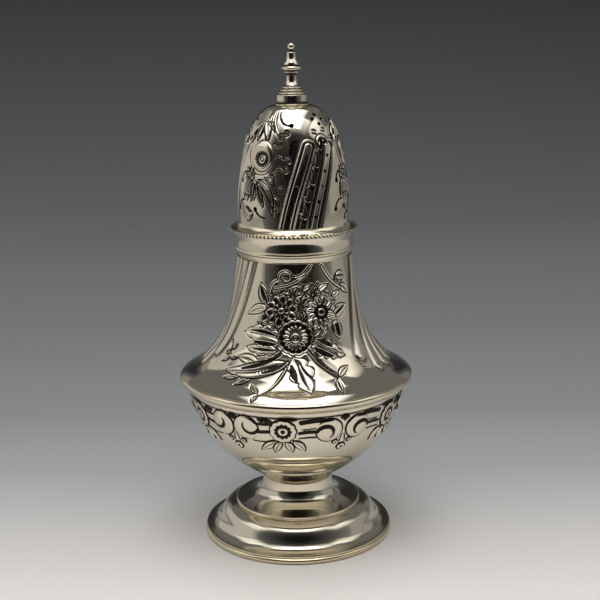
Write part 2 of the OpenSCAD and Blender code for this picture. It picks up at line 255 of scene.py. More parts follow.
def softened(section, radius, least_turn=25.0, most_share=0.45, steps=5):
    """Closed section whose corners are replaced by quadratic arcs. An arc starts one radius before its
    corner, or at the most share of a side that is too short for that."""
    before = np.roll(section, 1, axis=0)
    after = np.roll(section, -1, axis=0)
    points = []
    for corner, back, ahead in zip(section, before, after):
        into = corner - back
        out = ahead - corner
        into_length = np.hypot(*into)
        out_length = np.hypot(*out)
        turn = np.degrees(np.arccos(np.clip(into @ out / (into_length * out_length), -1, 1)))
        if turn < least_turn:
            points.append(corner[None])
            continue
        cut = min(radius, most_share * into_length, most_share * out_length)
        t = np.linspace(0, 1, steps)[:, None]
        first = corner - into / into_length * cut
        last = corner + out / out_length * cut
        points.append((1 - t) ** 2 * first + 2 * (1 - t) * t * corner + t**2 * last)
    return joined(*points)


def new_piece(name, points, *faces):
    """Mesh object from points in millimetres and arrays of faces with equal counts of corners."""
    corners = np.concatenate([part.ravel() for part in faces]).astype(np.int32)
    counts = np.concatenate([np.full(len(part), part.shape[1]) for part in faces])
    mesh = bpy.data.meshes.new(name)
    mesh.vertices.add(len(points))
    mesh.vertices.foreach_set("co", (np.asarray(points) * MM).astype(np.float32).ravel())
    mesh.loops.add(len(corners))
    mesh.loops.foreach_set("vertex_index", corners)
    mesh.polygons.add(len(counts))
    mesh.polygons.foreach_set("loop_start", (np.cumsum(counts) - counts).astype(np.int32))
    mesh.update(calc_edges=True)
    if mesh.validate():
        raise RuntimeError(f"{name} has faulty faces")
    mesh.shade_smooth()
    mesh.set_sharp_from_angle(angle=SHARP_ANGLE)
    piece = bpy.data.objects.new(name, mesh)
    bpy.context.scene.collection.objects.link(piece)
    return piece


def paint(piece, **layers):
    """Layers of one number for each point of a piece, by name."""
    count = len(piece.data.vertices)
    for name, values in layers.items():
        layer = piece.data.attributes.new(name, "FLOAT", "POINT")
        layer.data.foreach_set("value", np.broadcast_to(values, count).astype(np.float32).ravel())


def spun(radius, height, azimuth):
    """Points at radii and heights, turned about the axis to their azimuths in radians from the front."""
    radius, height, azimuth = np.broadcast_arrays(radius, height, azimuth)
    return np.stack([radius * np.sin(azimuth), -radius * np.cos(azimuth), height], -1)


def around(section, sides):
    """Points of a section carried round the axis: section point i at azimuth step j is row i, column j."""
    return spun(section[:, :1], section[:, 1:], np.linspace(0, 2 * np.pi, sides, endpoint=False))


def quads(rows, columns, wrap_rows=False, wrap_columns=False, first=0):
    """Faces of a grid of points, each turned so that rows upwards and columns rightwards face outwards."""
    i = np.arange(rows if wrap_rows else rows - 1)[:, None]
    j = np.arange(columns if wrap_columns else columns - 1)[None]
    up = (i + 1) % rows
    right = (j + 1) % columns
    grid = [i * columns + j, i * columns + right, up * columns + right, up * columns + j]
    return first + np.stack(grid, 2).reshape(-1, 4)


def creases(section, span=0.9, least_facing=-0.3):
    """Hollowness of each point of a closed section: how far its neighbours within the span stand outside
    it, leaving out those that face away from it."""
    step = np.roll(section, -1, axis=0) - np.roll(section, 1, axis=0)
    step = step / np.maximum(np.hypot(*step.T), 1e-9)[:, None]
    outward = np.stack([step[:, 1], -step[:, 0]], 1)
    apart = section[None] - section[:, None]
    gap = np.hypot(apart[..., 0], apart[..., 1])
    same_side = np.einsum("ik,jk->ij", outward, outward) > least_facing
    weight = np.where(same_side, np.exp(-((gap / span) ** 2)), 0)
    lift = np.einsum("ijk,ik->ij", apart, outward)
    return (weight * lift).sum(1) / weight.sum(1)


def shade_section(piece, section, sides, hollow_shade_and_oxide, worn, tarnish_rise=0.16, tarnish_start=0.35,
                  wear_rise=0.12, wear_start=0.25):
    """Darkness painted in the hollows of a turned section, partly oxide and partly painted shade, and wear
    on its edges and by a share all over. Each grows by one for every rise in hollowness, less its start."""
    hollow = creases(section)
    tarnish = np.clip(hollow_shade_and_oxide * (hollow / tarnish_rise - tarnish_start), 0, 1)
    wear = np.clip(-hollow / wear_rise - wear_start, worn, 1)
    paint(piece, tarnish=np.repeat(tarnish, sides), wear=np.repeat(wear, sides))


def turned(name, section, sides=192, hollow_shade_and_oxide=1.0, worn=0.0):
    """Closed section carried round the axis."""
    piece = new_piece(name, around(section, sides).reshape(-1, 3), quads(len(section), sides, True, True))
    shade_section(piece, section, sides, hollow_shade_and_oxide, worn)
    return piece


def turned_solid(name, line, sides=160, span=0.6, tarnish_rise=0.055, wear_rise=0.1, start=0.2,
                 most_wear=0.25, end_wear=0.3):
    """Outline carried round the axis from a point on the axis to another, closed by fans at both ends. Its
    hollows are painted darker, partly as oxide and partly as painted shade, and its edges worn, as a
    turned section's are."""
    rings = around(line[1:-1], sides).reshape(-1, 3)
    low = len(rings)
    ends = [[0, 0, line[0, 1]], [0, 0, line[-1, 1]]]
    j = np.arange(sides)
    right = (j + 1) % sides
    last = low - sides
    below = np.stack([np.full(sides, low), right, j], 1)
    above = np.stack([last + j, last + right, np.full(sides, low + 1)], 1)
    piece = new_piece(
        name, np.concatenate([rings, ends]), quads(len(line) - 2, sides, False, True), below, above)
    hollow = creases(line, span)[1:-1]
    tarnish = np.repeat(np.clip(hollow / tarnish_rise - start, 0, 1), sides)
    wear = np.repeat(np.clip(-hollow / wear_rise - start, 0, most_wear), sides)
    paint(piece, tarnish=np.append(tarnish, [0, 0]), wear=np.append(wear, [end_wear, end_wear]))
    return piece


def smooth_step(value):
    """0 below -1, 1 above 1 and the smooth cubic step between."""
    t = np.clip((np.asarray(value) + 1) / 2, 0, 1)
    return t * t * (3 - 2 * t)


def domed(share, flatness, power=2):
    """Height of a domed face, 1 at its middle: the root of 1 less the flatness times a power of the share
    of the way out."""
    return np.sqrt(np.clip(1 - flatness * share**power, 0, 1))


class Panel:
    """One repeat of a chased shell: a grid over azimuth and profile length with its relief.

    The chart of a point is its azimuth in radians and the sum of profile length over radius. In it all
    angles are true, and a distance times the radius is in millimetres.
    """

    BOW_POINTS = 13
    COIL_POINTS = 32
    SWIRL_STEPS = 24
    UNCUT = 99.0

    def __init__(self, line, places, columns, start, span, line_width):
        """line is the outer profile drawn upwards, places the profile lengths of the rows as shares."""
        run = run_along(line)
        self.run = np.asarray(places) * run[-1]
        self.line = np.stack([np.interp(self.run, run, line[:, k]) for k in range(2)], 1)
        self.full_run, self.full_line = run, line
        self.columns = columns
        self.step = np.radians(span) / columns
        self.start = np.radians(start)
        self.line_half = line_width / 2
        self.mirror = None
        radius = self.line[:, 0]
        middle = (radius[1:] + radius[:-1]) / 2
        self.q = np.concatenate([[0], np.cumsum(np.diff(self.run) / middle)])
        shape = (len(self.run), columns)
        self.height = np.zeros(shape)
        self.groove = np.zeros(shape)
        self.tarnish = np.zeros(shape)
        self.cut = np.full(shape, self.UNCUT)

    def chart(self, points):
        """Chart places of azimuths in degrees and heights in millimetres."""
        p = np.atleast_2d(np.asarray(points, float))
        return np.stack([np.radians(p[:, 0]), np.interp(p[:, 1], self.line[:, 1], self.q)], 1)

    def placed(self, chart):
        """Chart places, mirrored about the panel's mirror azimuth while it has one."""
        if self.mirror is None:
            return chart
        return np.stack([2 * np.radians(self.mirror) - chart[:, 0], chart[:, 1]], 1)

    def radius_at(self, chart):
        """Radius of the shell at one chart place."""
        return np.interp(chart[1], self.q, self.line[:, 0])

    def bow(self, base, tip, bend=0.0):
        """Chart line from base to tip that bows to its left by bend millimetres."""
        a, b = self.chart([base, tip])
        along = b - a
        t = np.linspace(0, 1, self.BOW_POINTS)[:, None]
        left = np.array([-along[1], along[0]]) / np.hypot(*along)
        bulge = bend / self.radius_at((a + b) / 2)
        return self.placed(a + along * t + left * bulge * np.sin(np.pi * t))

    def coil(self, centre, first_radius, last_radius, first, last):
        """Chart line round a centre between two angles in degrees, with a steadily changing radius."""
        middle = self.chart([centre])[0]
        t = np.linspace(0, 1, self.COIL_POINTS)[:, None]
        angle = np.radians(first + (last - first) * t)
        reach = (first_radius + (last_radius - first_radius) * t) / self.radius_at(middle)
        return self.placed(middle + reach * np.concatenate([np.cos(angle), np.sin(angle)], 1))

    def swirl(self, start, heading, turn, length):
        """Chart line that sets off at a heading and turns steadily to its left, both in degrees."""
        first = self.chart([start])
        t = (np.arange(self.SWIRL_STEPS) + 0.5) / self.SWIRL_STEPS
        angle = np.radians(heading + turn * t)
        heads = np.stack([np.cos(angle), np.sin(angle)], 1)
        steps = heads * length / self.SWIRL_STEPS / self.radius_at(first[0])
        return self.placed(np.concatenate([first, first + np.cumsum(steps, axis=0)]))

    def near(self, chart, margin):
        """Rows and columns within a margin in millimetres of some chart points, and their chart places."""
        ends = [chart[chart[:, 1].argmin()], chart[chart[:, 1].argmax()]]
        spread = margin / min(self.radius_at(end) for end in ends)
        rows = np.flatnonzero((self.q >= ends[0][1] - spread) & (self.q <= ends[1][1] + spread))
        first = int(np.floor((chart[:, 0].min() - spread - self.start) / self.step))
        last = int(np.ceil((chart[:, 0].max() + spread - self.start) / self.step))
        columns = np.arange(first, min(last, first + self.columns - 1) + 1)
        theta = self.start + columns * self.step
        where = np.ix_(rows, columns % self.columns)
        return where, theta[None], self.q[rows][:, None], self.line[rows, :1]

    def field(self, chart, margin):
        """Distance in millimetres to a chart line and share of its length passed."""
        where, theta, q, radius = self.near(chart, margin)
        shape = np.broadcast_shapes(theta.shape, q.shape)
        gap = np.full(shape, np.inf)
        along = np.zeros(shape)
        steps = np.diff(chart, axis=0)
        lengths = np.hypot(*steps.T)
        passed = run_along(chart)
        for start, step, length, before in zip(chart, steps, lengths, passed):
            x, y = step / max(length, 1e-9)
            dx, dy = theta - start[0], q - start[1]
            u = np.clip(dx * x + dy * y, 0, length)
            distance = np.hypot(dx - u * x, dy - u * y)
            closer = distance < gap
            gap = np.where(closer, distance, gap)
            along = np.where(closer, (before + u) / passed[-1], along)
        return where, gap * radius, along

    def polar(self, centre, margin, stretch=1.0):
        """Distance in millimetres and angle round a centre, with heights divided by a stretch."""
        chart = self.placed(self.chart([centre]))
        where, theta, q, radius = self.near(chart, margin)
        x = (theta - chart[0, 0]) * radius
        y = (q - chart[0, 1]) * radius / stretch
        return where, np.hypot(x, y), np.arctan2(y, x)

    def stamp(self, where, inside, body, edge=0.2):
        """Raise a shape over what is there: inside is the distance in from its outline."""
        share = smooth_step(inside / edge)
        for layer, value in ((self.height, body), (self.groove, 0.0), (self.tarnish, 0.0)):
            layer[where] = layer[where] * (1 - share) + value * share

    def etch(self, where, gap, half=None, depth=None, strength=1.0, soft=0.14):
        """Engrave a line: full within half of it, fading over soft beyond."""
        half = self.line_half if half is None else half
        depth = chased("line_depth") if depth is None else depth
        mark = strength * np.exp(-((np.maximum(np.abs(gap) - half, 0) / soft) ** 2))
        self.groove[where] = np.maximum(self.groove[where], depth * mark)
        self.tarnish[where] = np.maximum(self.tarnish[where], mark)

    def sink(self, where, share, depth=0.25):
        """Sink an area and leave it dark, by a share for each of its points."""
        self.groove[where] = np.maximum(self.groove[where], depth * share)
        self.tarnish[where] = np.maximum(self.tarnish[where], share)

    def shade(self, centre, radius, stretch, strength):
        """Darken the ground round a centre, for oxide in the ground and for painted shade: an ellipse that
        fades out over its outer half.
        """
        where, rho, _ = self.polar(centre, radius * max(stretch, 1.0) + 0.5, stretch)
        self.tarnish[where] = np.maximum(self.tarnish[where], strength * smooth_step(3 - 4 * rho / radius))

    def pierce(self, where, outside):
        """Cut through where the distance outside an outline is negative."""
        self.cut[where] = np.minimum(self.cut[where], outside)

    def wrapped(self, layer):
        """A layer with its first column repeated at the far seam."""
        return np.concatenate([layer, layer[:, :1]], 1)

    def azimuths(self):
        """Azimuths of the columns, both seams included, in radians."""
        return self.start + self.step * np.arange(self.columns + 1)


def stroke(panel, line, half=None, start=0.3, end=0.3, strength=1.0, taper=0.35):
    """Engraved chart line. Its half-width widens from the share start and narrows to the share end, each
    over the taper's share of the line."""
    half = panel.line_half if half is None else half
    where, gap, along = panel.field(line, half + 0.6)
    widening = start + (1 - start) * along / taper
    narrowing = end + (1 - end) * (1 - along) / taper
    share = np.clip(np.minimum(widening, narrowing), 0, 1)
    panel.etch(where, gap, half * share, strength=strength)


def ribbon(panel, line, half, swell=None):
    """Raised band along a chart line, round in section, with engraved edges."""
    swell = chased("leaf_swell") if swell is None else swell
    where, gap, _ = panel.field(line, half + 1.0)
    panel.stamp(where, half - gap, swell * domed(gap / half, 0.8), edge=0.15)
    panel.etch(where, gap - half - 0.1)


def leaf(panel, line, half, hollow=0.0, lobes=0, lean=0.8):
    """Leaf along a chart line. Its half-width is half times a sine of the share along the line, notched by
    lobes. It swells to both sides of the midrib and has an engraved outline and a midrib, or an engraved
    hollow over a share of its width whose darkness is painted shade."""
    where, gap, along = panel.field(line, half + 1.2)
    width = half * np.sin(np.pi * np.clip(along, 0.015, 0.985) ** lean) ** 0.75
    if lobes:
        width = width * (0.62 + 0.38 * np.abs(np.sin(np.pi * lobes * along)) ** 0.7)
    share = np.clip(gap / np.maximum(width, 0.05), 0, 1)
    inside = width - gap
    panel.stamp(where, inside, chased("leaf_swell") * (0.45 + 0.55 * np.sin(np.pi * share)))
    panel.etch(where, inside)
    within = smooth_step(inside / 0.15) * smooth_step((along - 0.1) / 0.06)
    within = within * smooth_step((0.86 - along) / 0.1)
    # The hollow's darkness is painted shade.
    panel.etch(where, gap, np.maximum(hollow * width, 0.05), strength=0.9 * within)


def petals(panel, centre, count, inner, outer, half, hollow=0.0, first=10):
    """Ring of petals round a centre, each a leaf drawn outwards and widest near its tip."""
    for angle in np.arange(count) * 360 / count + first:
        leaf(panel, panel.coil(centre, inner, outer, angle, angle), half, hollow, lean=1.2)


def disc(panel, centre, radius, swell, core=0.0):
    """Round button with a domed face and an engraved outline and core."""
    where, distance, _ = panel.polar(centre, radius * 1.4 + 0.8)
    panel.stamp(where, radius - distance, swell * domed(distance / radius, 0.75))
    panel.etch(where, radius - distance)
    if core:
        panel.etch(where, distance, core)


def pierced_hole(panel, centre, radius):
    """Round hole."""
    where, distance, _ = panel.polar(centre, radius * 2 + 1.0)
    panel.pierce(where, distance - radius)


def pierced_slot(panel, line, head, tail):
    """Slot along a chart line whose half-width runs from head to tail."""
    where, gap, along = panel.field(line, head + 1.2)
    panel.pierce(where, gap - tail - (head - tail) * (1 - along) ** 1.5)


def whole_shell(name, panel, wall, turn, snap=0.6, least_slope=0.05, dark_rim=1.2, inner_tarnish=0.35):
    """Panel with piercings as a closed shell: outer points pushed along the profile's normal by the
    relief, points next to a piercing moved onto its outline, the same grid again on the inner face, and
    walls along every free edge."""
    cut = panel.wrapped(panel.cut)
    rows, columns = cut.shape
    azimuth = np.broadcast_to(panel.azimuths(), cut.shape).copy()
    run = np.broadcast_to(panel.run[:, None], cut.shape).copy()
    cell = np.maximum(panel.line[:, :1] * panel.step, np.gradient(panel.run)[:, None])
    rise, aside = np.gradient(cut)
    aside = aside / (panel.line[:, :1] * panel.step)
    rise = rise / np.gradient(panel.run)[:, None]
    slope = np.maximum(rise**2 + aside**2, least_slope)
    snapped = np.abs(cut) < snap * cell
    azimuth = np.where(snapped, azimuth - cut * aside / slope / panel.line[:, :1], azimuth)
    run = np.clip(np.where(snapped, run - cut * rise / slope, run), 0, panel.full_run[-1])
    relief = panel.wrapped(panel.height - panel.groove)
    inner_line = inward(panel.full_line, wall)
    normal = normals(panel.full_line)
    points = []
    for line, lift in ((panel.full_line, relief), (inner_line, 0.0)):
        radius, height = (
            np.interp(run, panel.full_run, line[:, k])
            + lift * np.interp(run, panel.full_run, normal[:, k])
            for k in range(2))
        points.append(spun(radius, height, azimuth + turn).reshape(-1, 3))
    state = np.where(snapped, 0.0, cut).ravel()
    faces = quads(rows, columns)
    faces = faces[(state[faces].min(1) >= 0) & (cut.ravel()[faces].mean(1) > 0)]
    count = rows * columns
    starts = faces.ravel().astype(np.int64)
    ends = np.roll(faces, -1, axis=1).ravel().astype(np.int64)
    free = ~np.isin(starts * count + ends, ends * count + starts)
    starts, ends = starts[free], ends[free]
    rims = np.stack([ends, starts, starts + count, ends + count], 1)
    everything = [faces, faces[:, ::-1] + count, rims]
    used = np.unique(np.concatenate([part.ravel() for part in everything]))
    renumber = np.zeros(2 * count, np.int64)
    renumber[used] = np.arange(len(used))
    piece = new_piece(name, np.concatenate(points)[used], *[renumber[part] for part in everything])
    # The inner face is painted darker, and black within dark_rim of a piercing, as painted shade that
    # makes the holes look dark.
    hollow = np.where(cut < dark_rim, 1.0, inner_tarnish)
    tarnish = np.concatenate([panel.wrapped(panel.tarnish).ravel(), hollow.ravel()])
    paint(piece, tarnish=tarnish[used], wear=0.0)
    return piece


def backed_shell(name, panel, wall, turn, first=0, last=None, back_rows=24, inner_tarnish=0.25):
    """Unpierced columns of a panel as a closed shell: the relief outside, a plainer inner face with fewer
    rows, strips along the upper and lower edges and triangles down the two seams."""
    part = slice(first, panel.columns + 1 if last is None else last + 1)
    relief = panel.wrapped(panel.height - panel.groove)[:, part]
    rows, columns = relief.shape
    outer = panel.line[:, None] + relief[..., None] * normals(panel.line)[:, None]
    picks = np.unique(np.linspace(0, rows - 1, back_rows).round().astype(int))
    inner = np.broadcast_to(inward(panel.line, wall)[picks, None], (len(picks), columns, 2))
    section = np.concatenate([outer, inner])
    points = spun(section[..., 0], section[..., 1], panel.azimuths()[part] + turn)
    count = rows * columns
    j = np.arange(columns - 1)
    top, back_top = (rows - 1) * columns, count + (len(picks) - 1) * columns
    upper = np.stack([top + j, top + j + 1, back_top + j + 1, back_top + j], 1)
    lower = np.stack([j + 1, j, count + j, count + j + 1], 1)
    i = np.arange(rows - 1)
    nearest = np.abs(np.arange(rows)[:, None] - picks[None]).argmin(1)
    seams = []
    for column, flip in ((0, False), (columns - 1, True)):
        out = np.arange(rows) * columns + column
        back = count + nearest * columns + column
        sides = np.stack([out[i], out[i + 1], back[i]], 1)
        steps = np.stack([out[i + 1], back[i + 1], back[i]], 1)[nearest[1:] != nearest[:-1]]
        both = np.concatenate([sides, steps])
        seams.append(both[:, ::-1] if flip else both)
    faces = quads(rows, columns)
    back_faces = quads(len(picks), columns, first=count)[:, ::-1]
    piece = new_piece(name, points.reshape(-1, 3), faces, back_faces, upper, lower, np.concatenate(seams))
    inside = np.full(len(picks) * columns, inner_tarnish)
    tarnish = np.concatenate([panel.wrapped(panel.tarnish)[:, part].ravel(), inside])
    paint(piece, tarnish=tarnish, wear=0.0)
    return piece


def dome_line():
    """Outer profile of the dome: upright at its foot, flat at its crown."""
    foot = np.array([reach_of("cover_dome"), foot_of("cover_dome")])
    crown = np.array([size("crown_radius"), top_of("cover_dome")])
    rise = crown[1] - foot[1]
    spread = foot[0] - crown[0]
    foot_pull = np.array([0, 0.6 * rise])
    crown_pull = np.array([0.65 * spread, -0.015 * rise])
    return curve(foot, foot + foot_pull, crown + crown_pull, crown, 400)


def neck_line():
    """Outer profile of the upper body: a round shoulder that turns into a long hollow neck."""
    edge = np.array([reach_of("upper_body"), foot_of("upper_body")])
    turn = np.array([size("turn_radius"), size("turn_height")])
    top = np.array([size("neck_radius"), top_of("upper_body")])
    chord = np.hypot(*(edge - turn))
    rise = top[1] - turn[1]
    edge_way = np.array([-0.8, 0.6])
    turn_way = np.array([-0.63, 0.77])
    top_way = np.array([-0.11, 0.99])
    shoulder = curve(edge, edge + 0.36 * chord * edge_way, turn - 0.5 * chord * turn_way, turn, 120)
    neck = curve(turn, turn + 0.17 * rise * turn_way, top - 0.79 * rise * top_way, top, 300)
    return joined(shoulder, neck)


def bowl_line():
    """Outer profile of the bowl, from the stem up to the straight band under the girdle."""
    foot = np.array([size("stem_top_radius"), foot_of("bowl")])
    shoulder = np.array([reach_of("bowl"), top_of("bowl") - size("bowl_band")])
    spread, rise = shoulder - foot
    foot_pull = 0.21 * spread * np.ones(2)
    band_pull = 0.73 * rise * np.array([0.2, 1])
    wall = curve(foot, foot + foot_pull, shoulder - band_pull, shoulder, 300)
    return joined(wall, [[reach_of("bowl"), top_of("bowl")]])


# Places are azimuth and height. Each leaf is its base, its tip, its half-width, its bow to the left and
# the share of its width that is an engraved hollow, painted dark as shade.
DOME_LEAVES = [
    ((-49, 155.5), (-43, 162), 1.5, 0.4, 0),
    ((-40, 162), (-31, 155.3), 1.4, 0.3, 0),
    ((-39, 162), (-24, 158.5), 0.8, 0.8, 0),
    ((-60, 154.5), (-49, 160.5), 1.3, 0.4, 0.15),
    ((-57, 141), (-62, 134.4), 1.1, 0, 0),
    ((-53, 141), (-55.5, 133.6), 1.2, 0, 0),
    ((-48.5, 141), (-49, 133.4), 1.1, 0, 0.1),
    ((-43, 141), (-45, 134), 1.2, 0, 0.25),
    ((-40.5, 140.5), (-32, 132), 1.2, -0.3, 0.35),
    ((-39.5, 140.5), (-21, 129), 1.1, 1.2, 0.2),
    ((-39, 141.5), (-21, 131.5), 0.9, 1.7, 0),
    ((-30, 142.5), (-19, 139.5), 0.7, 0.5, 0),
    ((-58, 131), (-50, 129.5), 0.7, 0.2, 0),
    ((-56, 126), (-46, 129), 0.7, -0.3, 0),
]
# Each line is its two ends and its bow to the left.
DOME_LINES = [
    ((-30, 165), (-16, 155.8), -1.0),
    ((-26, 165.4), (-17.5, 158.4), -0.7),
    ((-21, 165.5), (-13, 161), -0.6),
    ((-34, 164), (-27.5, 159.5), -0.3),
    ((-50, 144), (-27.5, 143.8), -0.5),
    ((-40.5, 141.8), (-26.5, 141), 0.4),
    ((-60, 136), (-43, 136.5), -0.5),
    ((-57, 131.3), (-46, 129.2), 0.2),
    ((-57, 153), (-52, 146), -0.8),
]
# Raised curls in the dark ground: start, heading, turn and length.
DOME_CURLS = [
    ((-12, 137.5), 40, 300, 4.6),
    ((-16, 157.4), 50, -260, 3.6),
    ((-8.5, 158.7), 20, -260, 3.2),
    ((-22, 154.3), -50, 110, 3.8),
    ((-20.5, 150), 40, -90, 3.2),
    ((-19, 145.5), 50, -100, 3.0),
    ((-22, 143.7), 20, -230, 4.2),
    ((-20, 135.5), -20, -120, 5.6),
    ((-8.5, 146), 20, -200, 2.4),
    ((-9.5, 149.5), 40, -150, 3.2),
]
# Pierced commas: head, heading, turn and length of the tail.
DOME_COMMAS = [
    ((-1, 160.8), 190, -95, 5.4),
    ((-2.5, 151.8), 110, -110, 5.6),
    ((-42.5, 130.8), -65, 65, 5.6),
    ((52.5, 140.6), 100, -100, 5.4),
    ((48.5, 130.3), 90, -105, 6.4),
]
# Pierced slots: two ends and the half-widths at them.
DOME_SLOTS = [
    ((38, 154.9), (33.6, 152.4), 0.65, 0.4),
    ((31.4, 154.4), (33.4, 152.6), 0.4, 0.3),
    ((-61.5, 155.2), (-51.5, 158.6), 0.45, 0.4),
    ((-33.8, 155.8), (-40.3, 159), 0.55, 0.35),
]
# Patches of oxide in the ground: centre, radius, stretch upwards and strength.
DOME_SHADES = [
    ((-15, 151), 5.4, 2.0, 0.75),
    ((-16, 138), 5.0, 2.2, 0.7),
]
DOME_SUNFLOWER = (-36.8, 150)
DOME_DAISY = (-53, 143.2)
DOME_FEATHERS = 6
# Left ends of the short strokes over the flutes, and how far each runs.
CROWN_STROKES = [(26, 159.1), (25.7, 157.9), (43, 159.6), (41, 158.6), (53.5, 156.7), (53, 155.6)]
CROWN_STROKE_RUN = (7, -0.5)
CROWN_HOLES = [(41, 164.2), (33, 162.8), (51, 162.6), (42, 161)]
# The leaning flutes: azimuth of the first, gap to the next, top over the dome's foot, half-width, lean in
# degrees for each millimetre up, and how fast the lean grows.
FLUTE_FIRST = -5.0
FLUTE_GAP = 27.5
FLUTE_TOP = 29.2
FLUTE_HALF = 2.8
FLUTE_LEAN = 0.66
FLUTE_SWAY = 0.0125
FLUTE_POINTS = 16
HOLE_LOW = 4.3
HOLE_PITCH = 5.4
HOLES = 5
# The chain between the flutes: its share of the gap, its first bracket over the dome's foot, their pitch
# and the half-width of its channel.
CHAIN_SHARE = 0.6
CHAIN_LOW = 3.3
CHAIN_PITCH = 6.1
CHAIN_HALF = 0.9
BRACKETS = 5
# Bands of one bracket, from its own place: two ends, bow, half-width and swell.
BRACKET_BANDS = [
    ((-4.4, 1.9), (0, 0.3), -0.3, 0.26, 0.35),
    ((0, 0.3), (4.2, 1.3), -0.3, 0.26, 0.35),
    ((2.2, 1.0), (1.4, 5.4), -0.4, 0.2, 0.3),
]
BRACKET_HOLE = (-0.2, -0.8)
CHAIN_ARCH = (38.4, 154.8)


def flute_place(azimuth, height):
    """Place on a leaning line at a height over the dome's foot: it straightens towards the foot."""
    rise = height - HOLE_LOW
    return azimuth + FLUTE_LEAN * rise + FLUTE_SWAY * rise**2, foot_of("cover_dome") + height


def flute_line(panel, azimuth, top):
    """Chart line up a flute from the dome's foot."""
    return panel.chart([flute_place(azimuth, height) for height in np.linspace(0, top, FLUTE_POINTS)])


def pierced_flute(panel, azimuth, half):
    """Flute along a leaning line: an outer ridge, a dark hollow, and a raised strip that carries the
    holes. Its section is set by the share of its half-width out from the line."""
    where, gap, _ = panel.field(flute_line(panel, azimuth, FLUTE_TOP), half + 1.5)
    share = gap / half
    ridge = np.exp(-(((share - 0.95) / 0.09) ** 2))
    strip = smooth_step((0.46 - share) / 0.06) - 0.4 * smooth_step((0.3 - share) / 0.1)
    panel.stamp(where, 1.05 * half - gap, chased("flute_swell") * (0.5 * ridge + 0.4 * strip - 0.15))
    panel.etch(where, gap - 1.12 * half, 0.08, strength=0.85)
    panel.etch(where, gap - 0.68 * half, 0.12 * half, 0.12, strength=0.9)
    for k in range(HOLES):
        pierced_hole(panel, flute_place(azimuth, HOLE_LOW + k * HOLE_PITCH), chased("hole") / 2)


def flute_chain(panel):
    """Chain between the two flutes: a dark channel with bright brackets, a bowed line over each bracket
    and a piercing under it, and an arch over the topmost slots."""
    middle = FLUTE_FIRST + CHAIN_SHARE * FLUTE_GAP
    where, gap, _ = panel.field(flute_line(panel, middle, FLUTE_TOP - 1), 2.6)
    panel.etch(where, gap, CHAIN_HALF, 0.2, strength=0.8, soft=0.35)
    for k in range(BRACKETS):
        place = np.array(flute_place(middle, CHAIN_LOW + CHAIN_PITCH * k))
        for first, last, bend, half, swell in BRACKET_BANDS:
            ribbon(panel, panel.bow(place + first, place + last, bend), half, swell)
        pierced_hole(panel, place + BRACKET_HOLE, 0.5)
    ribbon(panel, panel.coil(CHAIN_ARCH, 2.3, 2.3, -5, 175), 0.55, 0.45)
    stroke(panel, panel.coil(CHAIN_ARCH, 1.35, 1.35, 0, 180), 0.3)


def dome_sunflower(panel, centre, rim=4.7, eye_radius=1.75, slits=18, slit_end=3.0):
    """Large flower of the dome's spray: a smooth dished rim, radial slits and a C-shaped eye."""
    where, rho, _ = panel.polar(centre, 8.0, 1.2)
    bowl = np.sin(np.pi * np.clip(rho / rim, 0, 1) ** 1.5)
    panel.stamp(where, rim - rho, chased("leaf_swell") * (0.8 + 0.9 * bowl), edge=0.4)
    panel.etch(where, rim - rho, strength=0.8)
    eye = (centre[0] + 1.8, centre[1] - 1.0)
    where, rho, angle = panel.polar(eye, 5.0)
    within = smooth_step((rho - eye_radius) / 0.12) * smooth_step((slit_end - rho) / 0.25)
    waves = slits / 2
    panel.etch(where, np.cos(waves * angle) * rho / waves, 0.16, strength=within)
    panel.etch(where, rho - eye_radius, 0.12)
    stroke(panel, panel.coil(eye, 1.2, 0.35, 60, 480), 0.16)


def chase_dome(panel):
    """The dome's ornament: a flower spray beside two leaning pierced flutes joined by a chain."""
    for patch in DOME_SHADES:
        panel.shade(*patch)
    for start, heading, turn, length in DOME_CURLS:
        ribbon(panel, panel.swirl(start, heading, turn, length), 0.22, 0.3)
    for base, tip, half, bend, hollow in DOME_LEAVES:
        leaf(panel, panel.bow(base, tip, bend), half, hollow)
    petals(panel, DOME_DAISY, 9, 0.6, 3.1, 0.75)
    disc(panel, DOME_DAISY, 1.0, 0.45, 0.35)
    dome_sunflower(panel, DOME_SUNFLOWER)
    for first, last, bend in DOME_LINES:
        stroke(panel, panel.bow(first, last, bend), 0.18, strength=0.85)
    for k in range(DOME_FEATHERS):
        feather = panel.bow((-69 + k, 163.6 - 0.65 * k), (-41, 165.6 - 0.7 * k), 0.2)
        stroke(panel, feather, 0.15, strength=0.8)
    for place in np.array(CROWN_STROKES):
        stroke(panel, panel.bow(place, place + CROWN_STROKE_RUN, 0.25), 0.2, strength=0.85)
    for side in (0, 1):
        pierced_flute(panel, FLUTE_FIRST + side * FLUTE_GAP, FLUTE_HALF)
    flute_chain(panel)
    for head, heading, turn, length in DOME_COMMAS:
        pierced_slot(panel, panel.swirl(head, heading, turn, length), 0.55, 0.3)
        pierced_hole(panel, head, 0.9)
    for first, last, head, tail in DOME_SLOTS:
        pierced_slot(panel, panel.bow(first, last), head, tail)
    for place in CROWN_HOLES:
        pierced_hole(panel, place, 0.55 * chased("hole"))


